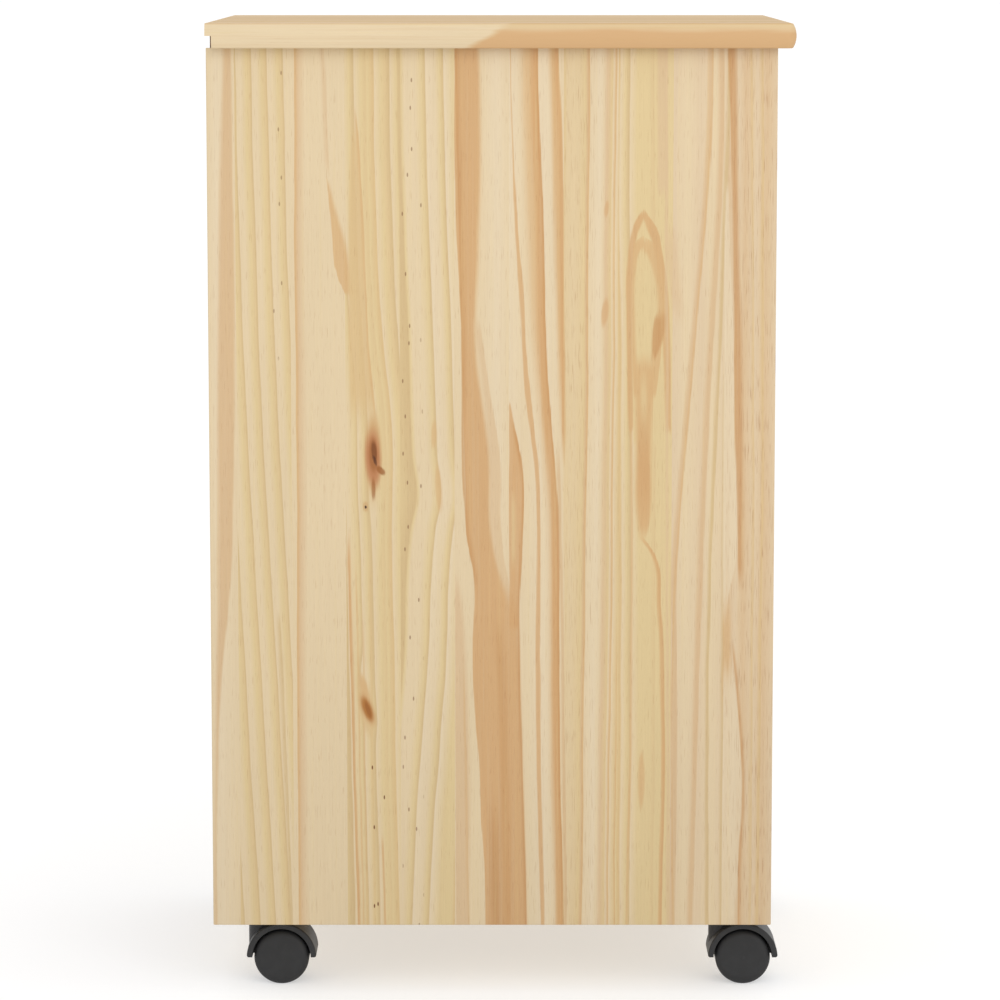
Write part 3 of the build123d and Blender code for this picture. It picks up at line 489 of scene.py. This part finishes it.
PANEL_BANDS = (
    Band("tan", 0.8, ((0, 14.6), (257, 8.2), (460, 6.5), (595, 3.4), (759, 1.3)),
         ((0, 21), (390, 20), (460, 17), (530, 10), (600, 5.5), (759, 3.6)), (2.4, 1.2)),
    line("olive", 0.8, 2.8, ((500, 58), (640, 63), (759, 66.5)), (2.5, 0.6), (480, BELOW)),
    # a tongue of darker wood that hangs from a thin line
    line("peach", 0.7, 3.4, ((0, 96.8), (106, 101)), (2.0, 0.6), (ABOVE, 112)),
    Band("honey", 0.85, ((112, 102), (155, 106.2), (188, 109.4), (209, 117)),
         ((112, 103), (125, 106.4), (144, 111.6), (169, 118), (209, 124)), (0.5, 2.5), (108, 212), 6),
    # the wedge that widens down to the first knot
    Band("wheat", 0.85, ((47, 125.4), (136, 121.1), (257, 120.2)),
         ((47, 125.8), (84, 129.7), (136, 132), (213, 135.3), (257, 137.4), (304, 141.7)), (1.8, 0.8),
         (44, 330), 40),
    line("honey", 0.75, 1.6, ((47, 124.4), (84, 128.2), (136, 130.6), (213, 134), (257, 136), (304, 140.4)),
         (1.2, 0.4), (44, 325)),
    line("orange", 0.9, 2.4, ((412, 118.2), (511, 120), (759, 125.8)), (0.5, 1.2), (405, BELOW), 40),
    line("honey", 0.65, 1.2, ((412, 124.6), (759, 129.8)), (0.5, 0.7), (430, BELOW), 50),
    line("honey", 0.5, 1.4, ((412, 130), (759, 133)), (0.5, 0.7), (470, BELOW), 50),
    line("wheat", 0.6, 2.0, ((412, 136), (759, 139.4)), (1.4, 0.5), (420, BELOW), 50),
    line("orange", 0.7, 2.0, ((660, 145.4), (759, 148.6)), (0.6, 0.6), (676, BELOW), 16),
    # heartwood that wanders over the glue joint into the next stave
    Band("orange", 0.9,
         ((0, 211), (128, 211.5), (257, 217), (369, 219.3), (412, 220.1), (434, 223.6), (455, 226.8),
          (520, 225.7), (555, 226.8), (608, 230.5), (663, 232.6), (706, 236), (759, 236.5)),
         ((0, 231), (97, 233), (170, 230.5), (257, 229), (347, 240), (412, 242), (455, 252), (477, 262),
          (511, 265), (608, 268), (706, 271), (759, 272)), (0.5, 2.8)),
    Band("peach", 0.8, ((230, 226), (300, 236), (347, 240), (412, 242), (455, 250), (477, 258)),
         ((230, 232), (300, 242), (347, 249), (412, 250.5), (455, 256), (477, 262)), (3.0, 0.8), (225, 490),
         20),
    line("amber", 0.75, 3.0,
         ((0, 210.6), (257, 216.6), (412, 219.8), (434, 223.4), (455, 226.6), (470, 226.6)), (0.5, 2.6),
         (ABOVE, 480), 40),
    line("amber", 0.55, 7.0, ((455, 240), (520, 246), (608, 249), (759, 254)), (3.0, 4.0), (470, BELOW),
         60),
    line("russet", 0.35, 9.0, ((600, 238), (759, 242)), (4.0, 5.0), (630, BELOW), 60),
    Band("peach", 0.95, ((440, 210.8), (759, 210.8)), ((460, 214), (511, 219), (759, 222)), (0.4, 2.8),
         (440, BELOW), 30),
    line("honey", 0.6, 1.6, ((520, 217), (759, 221)), (1.2, 0.5), (520, BELOW), 40),
    # the lens of heartwood that starts at that glue joint
    Band("orange", 0.9, ((290, 256.9), (759, 256.9)),
         ((298, 257), (315, 260), (341, 265.5), (365, 269.3), (434, 268), (466, 265.5), (520, 265)),
         (0.3, 0.7), (298, 500), 6),
    line("amber", 0.85, 2.2,
         ((315, 258), (341, 263.4), (365, 267.1), (434, 266), (466, 264), (520, 264), (608, 266.5),
          (759, 270.5)), (1.6, 0.5), (312, BELOW), 16),
    line("sand", 0.7, 3.4, ((372, 259), (455, 259)), (1.6, 2.0), (372, 452), 24),
    # three growth rings that bow towards the front, each darkest at its front edge
    Band("orange", 0.8,
         ((0, 257.4), (149, 262), (213, 266.2), (257, 268), (293, 270.5), (332, 276), (358, 279.4),
          (401, 281.2), (520, 280.2), (759, 284.4)),
         ((0, 258.4), (84, 260.4), (149, 264.5), (213, 269.9), (257, 271.6), (293, 275.3), (332, 279.8),
          (358, 282.8), (401, 284.3), (520, 283.9), (759, 287.8)), (0.8, 0.5)),
    Band("honey", 0.75,
         ((0, 267.5), (149, 273), (257, 278.5), (369, 289), (412, 291.7), (520, 292.5), (706, 296.8)),
         ((0, 281.7), (71, 283), (149, 286.5), (257, 289), (310, 292.5), (369, 297.9), (412, 300),
          (520, 300), (620, 301.7), (706, 303.7)), (5.0, 0.6)),
    line("orange", 1.0, 6.4,
         ((0, 275.3), (71, 276.6), (149, 280.1), (257, 282.6), (310, 286.1), (369, 291.5), (412, 293.6),
          (520, 293.6), (620, 295.3), (706, 297.2)), (2.6, 0.5)),
    line("amber", 0.7, 1.6,
         ((0, 280.1), (71, 281.4), (149, 284.9), (257, 287.4), (310, 290.9), (369, 296.3), (412, 298.4),
          (520, 298.4), (620, 300.1), (706, 302)), (0.8, 0.5)),
    Band("honey", 0.95, ((0, 291.4), (149, 295.7), (257, 299), (304, 301), (356, 304.5)),
         ((0, 299), (149, 303.7), (257, 304.6), (356, 305)), (3.0, 0.6), (ABOVE, 362), 14),
    line("orange", 0.95, 3.2, ((0, 295.6), (149, 300.3), (257, 301.4), (356, 303)), (1.4, 0.5),
         (ABOVE, 350), 30),
    Band("sand", 0.6, ((0, 304), (759, 304)), ((0, 322), (759, 318)), (1.0, 3.0)),
    line("tan", 0.7, 2.4, ((300, 297), (520, 301.8), (759, 305)), (1.0, 0.6), (330, BELOW), 40),
    # nested arches, where the saw cut the rings at a slant
    line("peach", 0.75, 8.6, ((0, 383), (127, 383)), (1.6, 1.4), (ABOVE, 130), 16),
    Band("orange", 0.8, ((136, 372), (145, 366), (153, 362.3), (183, 358), (230, 357), (330, 360)),
         ((136, 372.5), (145, 378), (153, 383), (181, 389), (202, 392.5), (230, 394)), (1.0, 0.6),
         (134, 330), 8),
    Band("straw", 0.95, ((143, 372), (152, 369), (160, 366), (187, 362.6), (230, 361.4), (330, 363.6)),
         ((143, 372), (152, 374.4), (160, 377.6), (183, 382.6), (206, 386), (230, 387.6)), (1.2, 1.4),
         (142, 340), 6),
    Band("honey", 0.8, ((160, 371), (166, 364), (175, 361.9), (240, 361), (300, 364)),
         ((160, 372), (166, 381), (185, 386.4), (205, 390.5), (240, 389)), (1.0, 0.6), (158, 300), 8),
    Band("straw", 0.95, ((169, 371), (175, 367.6), (185, 365.6), (240, 364.6), (300, 367)),
         ((169, 372), (177, 375.8), (190, 380), (209, 383.6), (240, 382.6)), (1.4, 2.0), (168, 312), 8),
    line("peach", 0.7, 9.0, ((140, 389), (220, 396)), (2.0, 3.0), (140, 240), 30),
    Band("amber", 0.8, ((222, 384), (232, 381), (262, 378.5)), ((222, 392), (241, 390), (262, 382)),
         (1.2, 1.6), (220, 270), 12),
    Band("honey", 0.9, ((261, 363.6), (345, 366.5), (390, 366.7), (420, 370)),
         ((261, 381), (345, 379), (390, 379.5), (412, 377), (425, 372)), (3.0, 1.6), (255, 428), 20),
    Band("orange", 0.8, ((300, 366), (345, 367.5), (390, 367.7), (420, 371)),
         ((300, 375), (345, 377), (390, 378), (412, 376), (425, 372)), (2.4, 1.6), (300, 428), 60),
    line("straw", 0.7, 5.0, ((262, 369), (345, 370.5)), (1.6, 1.6), (262, 330), 40),
    line("honey", 0.95, 3.2, ((425, 374), (440, 382), (477, 385), (520, 387.4), (759, 387)), (1.2, 0.5),
         (416, BELOW), 10),
    line("orange", 0.6, 1.4, ((425, 375.4), (440, 383.4), (477, 386.6), (520, 389), (759, 388.8)),
         (0.8, 0.5), (424, BELOW), 10),
    line("honey", 0.7, 1.8, ((262, 359.6), (440, 362), (759, 358.4)), (0.6, 1.2), (250, BELOW), 30),
    Band("honey", 0.75, ((602, 371), (630, 368.7), (658, 371)), ((602, 372), (630, 374.4), (658, 372)),
         (1.6, 1.2), (600, 660), 10),
    line("peach", 0.7, 2.6, ((440, 392), (759, 394.4)), (1.2, 1.0)),
    # the pinkish stave's four soft lines
    line("tan", 0.75, 4.4,
         ((0, 426), (138, 421.7), (236, 413), (358, 403.6), (455, 396.8), (520, 397.6), (759, 397)),
         (2.0, 0.8)),
    line("tan", 0.75, 4.5, ((0, 434.7), (127, 433.8), (236, 427.8), (369, 421.7), (477, 418.3), (706, 413)),
         (2.4, 0.8)),
    line("olive", 0.9, 2.8, ((0, 443), (257, 435.5), (369, 431.2), (477, 427.8), (759, 427.8)), (1.6, 0.6)),
    line("olive", 0.8, 2.6, ((260, 440.4), (759, 439.4)), (1.4, 0.6), (250, BELOW), 60),
    line("honey", 0.6, 1.4,
         ((0, 428.6), (138, 424.4), (236, 415.6), (358, 406.4), (455, 399.4), (759, 399.8)), (0.8, 0.5)),
    # the darker front stave
    Band("milk", 0.8, ((110, 441), (500, 441)),
         ((120, 443.5), (257, 449), (369, 452), (430, 453.5), (470, 446), (500, 443)), (0.8, 0.8),
         (110, 500), 16),
    Band("amber", 0.8, ((0, 442.4), (170, 448), (257, 449.4), (369, 452), (440, 454)),
         ((0, 449.5), (170, 453), (257, 456), (369, 457.5), (440, 458)), (0.9, 2.4), (ABOVE, 470), 30),
    line("honey", 0.7, 7.0, ((460, 441), (580, 441)), (1.0, 2.0), (460, 580), 40),
    Band("milk", 0.75, ((520, 442), (759, 442)), ((520, 448), (576, 455), (640, 459), (706, 456)),
         (0.6, 0.9), (520, BELOW), 30),
    line("amber", 0.75, 2.0, ((511, 449), (576, 455.4), (641, 459), (706, 456), (759, 456)), (0.8, 1.6),
         (505, BELOW)),
    line("wheat", 0.8, 2.4, ((0, 470), (300, 473), (759, 471)), (1.6, 0.6)),
    line("wheat", 0.7, 2.0, ((0, 461), (300, 465), (759, 465)), (1.6, 0.6)),
)

# The lines flow round these two.
UPPER_KNOT = Spot("amber", 0.65, 140.4, 345.0, 8.0, 34.0)
LOWER_KNOT = Spot("honey", 0.75, 132.4, 552.0, 3.4, 16.0, 0.2)
PANEL_SPOTS = (
    Spot("wheat", 0.8, 140.6, 348.0, 8.5, 44.0),
    UPPER_KNOT,
    Spot("terracotta", 0.95, 140.6, 350.0, 7.4, 27.0, 0.03),
    Spot("rust", 0.85, 147.0, 360.4, 3.6, 4.4, 0.5),
    Spot("rust", 0.7, 140.6, 347.0, 4.6, 17.0, 0.03),
    Spot("bark", 0.65, 141.4, 344.0, 2.8, 10.0, 0.08),
    Spot("pitch", 0.6, 142.0, 352.0, 1.6, 5.0, 0.3),
    Spot("rust", 0.7, 140.4, 376.0, 1.8, 11.0),
    Spot("amber", 0.5, 133.7, 391.5, 2.4, 5.0),
    Spot("pitch", 0.95, 133.7, 392.0, 1.2, 1.6),
    Spot("wheat", 0.8, 133.6, 566.0, 7.6, 30.0, 0.15),
    LOWER_KNOT,
    Spot("amber", 0.6, 134.8, 568.6, 6.4, 16.0, 0.3),
    Spot("russet", 0.95, 134.8, 568.6, 4.6, 12.0, 0.3),
    Spot("rust", 0.75, 135.4, 569.0, 2.2, 8.0, 0.3),
    # faint bruises beside the wandering line of the fifth stave
    Spot("honey", 0.6, 192.6, 329.0, 2.6, 14.0),
    Spot("honey", 0.6, 196.6, 376.0, 3.2, 22.0, 0.04),
    Spot("orange", 0.6, 340.4, 137.0, 2.2, 8.0, -0.1),
    Spot("orange", 0.65, 339.0, 225.0, 3.4, 14.0, -0.1),
)

# where hair-thin dark specks lie: (rear, front, top, bottom, how dark)
PIN_SPECKS = (
    (165.0, 183.0, 0.0, 759.0, 0.6),
    (137.0, 150.0, 580.0, 759.0, 0.9),
    (55.0, 66.0, 10.0, 260.0, 0.5),
)
SPECK_GRID_ACROSS = 11.0
SPECK_GRID_DOWN = 30.0
# where the resin dashes are dense: (rear, front, how dark)
RESINOUS = ((304.0, 330.0, 0.4), (443.3, 486.0, 0.4), (455.0, 486.0, 0.3))


def pin_specks(g, across, down):
    """Tiny dark dots, a few centimetres apart, where hair-thin twigs were cut: 1 on a dot."""
    cells = g.vector(across / SPECK_GRID_ACROSS, down / SPECK_GRID_DOWN)
    cell = g.node("TexVoronoi", {"Vector": cells, "Scale": 1.0, "Randomness": 0.9}, voronoi_dimensions="2D")
    chance = g.split(cell.outputs["Color"])[1]
    return Field(g, cell.outputs["Distance"]).fall(0.045, 0.075) * chance.rise(0.28, 0.32)


def side_panel_left():
    """The panel drawn stave by stave, with its glue joints, heartwood, arches and knots."""
    low, high = (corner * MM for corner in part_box("side_panel_left"))
    span = high - low
    g = Graph("pine_side_left")
    x, y, z = g.place()
    across = (y * -1.0) + high.y
    down = (z * -1.0) + high.z
    thick = x - low.x
    unit = 0.5 / span.y  # a millimetre across, in the shares that the curves hold

    # The textures come first, and the shapes all read them, so that Cycles never holds many numbers at once.
    wander = g.noise(g.vector(across * 0.03, down * 0.009, thick * 0.05), detail=2.0) - 0.5
    streak = streaks(g, across, down, thick)
    fine = fibre(g, across, down, thick)
    dashes = resin_dashes(g, across * 1.5 + 40.0, down * 0.6, thick)
    dots = pin_specks(g, across, down)
    level = down + wander * 8.0  # wavers, so that no edge looks ruled
    level_share = level / span.z

    def run(points):
        """A distance across that changes down the panel, as a share."""
        return g.curve(level_share, [(at / span.z, value * unit + 0.25) for at, value in points])

    def whorl(spot, place):
        """How far a point is from the spot's middle: 1 at its rim."""
        off = ((level - spot.down) * -spot.lean + place - spot.across) / spot.half_width
        along = (level - spot.down) / spot.half_length
        return (off * off + along * along).math("SQRT")

    # Lines are looked up at a place that wanders a little and that the large knots push aside.
    flow = across + wander * 3.2 + thick * 0.25
    for knot in (UPPER_KNOT, LOWER_KNOT):
        off = across - knot.across
        near = whorl(knot, across).fall(0.6, 3.4)
        flow = flow - near * (off / (off.math("ABSOLUTE") + 1.5)) * 3.6

    colour = TONES["cream"]
    for stave in PANEL_STAVES:
        at = flow - stave.start
        if stave.drift:
            at = at - (run(stave.drift) - 0.25) / unit
        if stave.period:
            at = (at / stave.period).math("FRACT") * stave.period
        values = [value for value, _ in stave.lines]
        tone = g.ramp(at, min(values), max(values), stave.lines)
        colour = g.mix(across.math("GREATER_THAN", stave.start), colour, tone)

    ragged = (across + wander * 2.4 + streak * 2.6 + fine * 2.0 - 2.3) * unit + 0.25
    frayed = level + fine * 20.0 - 10.0
    grain = streak * 0.5 + 0.75
    for band in PANEL_BANDS:
        past_rear = ragged - run(band.rear)
        share = past_rear.rise(-band.soft[0] * unit, band.soft[0] * unit, band.strength) * grain
        if isinstance(band.front, tuple):
            past_front, width = ragged - run(band.front), 0.0
        else:
            past_front, width = past_rear, band.front
        share = share * past_front.fall((width - band.soft[1]) * unit, (width + band.soft[1]) * unit)
        top, bottom = band.ends
        if top > 0.0:
            share = share * frayed.rise(top, top + band.fade)
        if bottom < span.z:
            share = share * frayed.fall(bottom - band.fade, bottom)
        colour = g.mix(share, colour, band.tone)

    colour = dress(g, colour, across, down, thick, streaking=0.25)
    for rear, front, dark in RESINOUS:
        share = dashes * across.rise(rear - 1.0, rear + 1.0, dark) * across.fall(front - 1.0, front + 1.0)
        colour = g.mix(share, colour, "rust")
    rough = across + fine * 3.6 + wander * 3.0 - 1.8
    for spot in PANEL_SPOTS:
        colour = g.mix(whorl(spot, rough).fall(0.55, 1.15) * spot.strength, colour, spot.tone)
    for rear, front, top, bottom, dark in PIN_SPECKS:
        share = dots * across.rise(rear - 1.0, rear + 1.0, dark) * across.fall(front - 1.0, front + 1.0)
        colour = g.mix(share * down.rise(top - 9.0, top) * down.fall(bottom, bottom + 9.0), colour, "bark")
    # painted shade: the panel darker towards the bottom, as the light falls from above
    colour = g.brighten(colour, level_share * level_share * -0.11 + 0.99)
    return wood_finish(g, colour, fine.rise(0.45, 0.6), fine)


# ---------------------------------------------------------------- other materials


def turned_wood(name, seed):
    """A turned knob: rings seen on the end grain, lines along the side."""
    g = Graph(name)
    x, y, z = g.place()
    colour, late = log_pine(g, x, y, z, Log(seed, stave=400.0, ring=1.2, knots=0.0, orange=0.55))
    return wood_finish(g, colour, late, fibre(g, x, y, z), 0.36)


def plywood(name, along, across, thick):
    """A rotary-cut veneer face with its wide, soft figure."""
    g = Graph(name)
    place = dict(zip("xyz", g.place(), strict=True))
    u, v, w = place[across], place[along], place[thick]
    figure = g.noise(g.vector(u * 0.035, v * 0.006, w * 0.3), detail=4.0, roughness=0.55)
    wave = (figure * 14.0).math("FRACT")
    colour = g.mix(wave * 0.5, TONES["cream"], "peach")
    fibres = fibre(g, u, v, w)
    return wood_finish(g, g.brighten(colour, fibres * 0.16 + 0.9), wave, fibres, 0.55)


def hardboard():
    """Pressed wood fibre: brown, with a fleck in every direction."""
    g = Graph("hardboard_brown")
    x, y, z = g.place()
    fleck = g.noise(g.vector(x, y, z), detail=4.0, roughness=0.7, scale=0.8)
    cloud = g.noise(g.vector(x, y, z), detail=2.0, scale=0.02)
    colour = g.mix(fleck.rise(0.35, 0.7), shown(118, 92, 68), shown(158, 127, 96))
    colour = g.brighten(colour, cloud * 0.3 + 0.85)
    return g.finish(colour, fleck * 0.25 + 0.5, g.bump(fleck, 0.00015, 0.5))


def metal(name, bright, dark, rough, relief, grain=(1.0, 1.0, 1.0)):
    """Plated or cast metal whose tone and gloss vary in patches and in fine grain."""
    g = Graph(name)
    x, y, z = g.place()
    patches = g.noise(g.vector(x, y, z), detail=3.0, scale=0.35)
    grains = g.noise(g.vector(x * grain[0], y * grain[1], z * grain[2]), detail=2.0, scale=3.0)
    colour = g.mix(patches.rise(0.35, 0.65) * 0.7 + grains * 0.3, (*dark, 1.0), (*bright, 1.0))
    roughness = patches * 0.18 + grains * 0.14 + (rough - 0.16)
    g.constant("Metallic", 1.0)
    return g.finish(colour, roughness, g.bump(grains, relief, 0.4))


def plastic(name, tone, scuffed, rough, grain_depth, grain_size):
    """Moulded plastic: a fine grain, and a tone that is a little lighter where it is scuffed."""
    g = Graph(name)
    x, y, z = g.place()
    spots = g.noise(g.vector(x, y, z), detail=3.0, scale=0.12)
    grain = g.noise(g.vector(x, y, z), detail=2.0, roughness=0.6, scale=1.0 / grain_size)
    colour = g.mix(spots.rise(0.35, 0.75) * 0.6 + grain * 0.4, (*tone, 1.0), (*scuffed, 1.0))
    roughness = spots * 0.14 + grain * 0.12 + (rough - 0.13)
    g.constant("Specular IOR Level", 0.4)
    return g.finish(colour, roughness, g.bump(grain, grain_depth, 0.6))


# ---------------------------------------------------------------- which node gets which


def paint(material, *names):
    for name in names:
        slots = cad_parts[name].data.materials
        slots.clear()
        slots.append(material)


def nodes_starting(*starts):
    return [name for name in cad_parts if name.startswith(starts)]


paint(side_panel_left(), "side_panel_left")
paint(board("pine_side_right", Log(3), "y", "z", "x"), "side_panel_right")
paint(top_board(), "top_board")
paint(board("pine_bottom", Log(8), "y", "x", "z"), "bottom_board")
paint(board("pine_divider", Log(12), "y", "x", "z"), "divider_board")
paint(board("pine_shelf", Log(15), "y", "x", "z"), "shelf_board")
paint(board("pine_door", Log(21), "x", "z", "-y"), "door_panel")
paint(board("pine_drawer_front", Log(24), "z", "x", "-y"), "drawer_front")
paint(board("box_left", Log(31, stave=140, knots=0), "z", "y", "x"), "drawer_side_left")
paint(board("box_right", Log(32, stave=140, knots=0), "z", "y", "-x"), "drawer_side_right")
paint(board("box_back", Log(33, stave=140, knots=0), "z", "x", "y"), "drawer_back")
paint(plywood("ply_drawer_bottom", "y", "x", "z"), "drawer_bottom")
paint(hardboard(), "back_panel")
paint(turned_wood("turned_knob", 4), "drawer_knob", "door_knob")
paint(turned_wood("beech_dowel", 7), "wood_dowels")

ZINC = metal("zinc_plate", (0.66, 0.67, 0.69), (0.50, 0.51, 0.53), 0.34, 0.00002)
paint(
    ZINC,
    *nodes_starting("slide_rail", "drawer_runner", "caster_plate", "caster_kingpin", "caster_axle"),
    *nodes_starting("ball_cage"),
    *(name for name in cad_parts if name.endswith(("screws", "_screw", "nails"))),
    "cam_bolts",
    "shelf_pins",
    "strike_plate",
    "door_pivot_pins",
)
paint(metal("zinc_cast", (0.52, 0.52, 0.53), (0.36, 0.36, 0.37), 0.52, 0.00008), "cam_locks")
paint(metal("brass", (0.76, 0.60, 0.30), (0.60, 0.45, 0.20), 0.34, 0.00003), "pivot_bushes")
paint(plastic("plastic_white", (0.78, 0.77, 0.74), (0.84, 0.83, 0.80), 0.45, 0.00004, 0.5), "catch_body")
paint(
    plastic("plastic_hood", (0.014, 0.014, 0.0145), (0.022, 0.022, 0.023), 0.48, 0.00006, 0.45),
    *nodes_starting("caster_hood"),
)
paint(
    plastic("plastic_wheel", (0.012, 0.012, 0.0124), (0.019, 0.019, 0.020), 0.56, 0.00005, 0.6),
    *nodes_starting("caster_wheel"),
)

# ---------------------------------------------------------------- floor, light and camera

FLOOR_RADIUS = 90.0
FLOOR_TONE = (0.55, 0.55, 0.55, 1.0)
FLOOR_GLOW = 0.47  # lifts the floor to the white of the room, so that only contact shadows show
WHITE = (1.0, 1.0, 1.0, 1.0)


def floor():
    mesh = bpy.data.meshes.new("floor")
    corners = [
        (FLOOR_RADIUS * math.cos(turn * math.pi / 4), FLOOR_RADIUS * math.sin(turn * math.pi / 4), 0.0)
        for turn in range(8)
    ]
    mesh.from_pydata(corners, [], [tuple(range(8))])
    made = bpy.data.objects.new("floor", mesh)
    bpy.context.scene.collection.objects.link(made)
    g = Graph("floor_pale")
    g.constant("Base Color", FLOOR_TONE)
    g.constant("Emission Color", WHITE)
    g.constant("Emission Strength", FLOOR_GLOW)
    g.constant("Roughness", 0.9)
    g.constant("Specular IOR Level", 0.1)
    mesh.materials.append(g.material)


SOFTBOX_PLACE = (-3.4, -1.1, 2.4)
SOFTBOX_TARGET = (0.0, 0.0, 0.5)
SOFTBOX_SIZE = 2.6
SOFTBOX_POWER = 42.0


def aim(thing, target):
    thing.rotation_mode = "QUATERNION"
    thing.rotation_quaternion = (Vector(target) - thing.location).to_track_quat("-Z", "Y")


def softbox(name, place, target, size, power):
    data = bpy.data.lights.new(name, "AREA")
    data.shape = "SQUARE"
    data.size = size
    data.energy = power
    made = bpy.data.objects.new(name, data)
    made.location = place
    bpy.context.scene.collection.objects.link(made)
    aim(made, target)


def studio():
    """A white room and one large softbox on the camera's side."""
    world = bpy.data.worlds.new("studio")
    world.use_nodes = True
    background = world.node_tree.nodes["Background"]
    background.inputs["Color"].default_value = WHITE
    background.inputs["Strength"].default_value = 1.0
    bpy.context.scene.world = world
    softbox("softbox_camera_side", SOFTBOX_PLACE, SOFTBOX_TARGET, SOFTBOX_SIZE, SOFTBOX_POWER)
    bpy.context.scene.view_settings.view_transform = "Standard"


CAMERA_DISTANCE = 3.6  # from the top's long edge
CAMERA_SIDE = 0.00067  # how far towards the rear it stands
CAMERA_HEIGHT = 0.90749
CAMERA_TILT = math.radians(7.4775)
CAMERA_LENS = 152.86


def camera():
    """Looks along +X at the side panel, from a little above the middle."""
    data = bpy.data.cameras.new("camera")
    data.lens = CAMERA_LENS
    data.clip_end = 200.0
    made = bpy.data.objects.new("camera", data)
    made.location = (cad_box[0].x - CAMERA_DISTANCE, CAMERA_SIDE, CAMERA_HEIGHT)
    bpy.context.scene.collection.objects.link(made)
    aim(made, made.location + Vector((math.cos(CAMERA_TILT), 0.0, -math.sin(CAMERA_TILT))))
    bpy.context.scene.camera = made


floor()
studio()
camera()
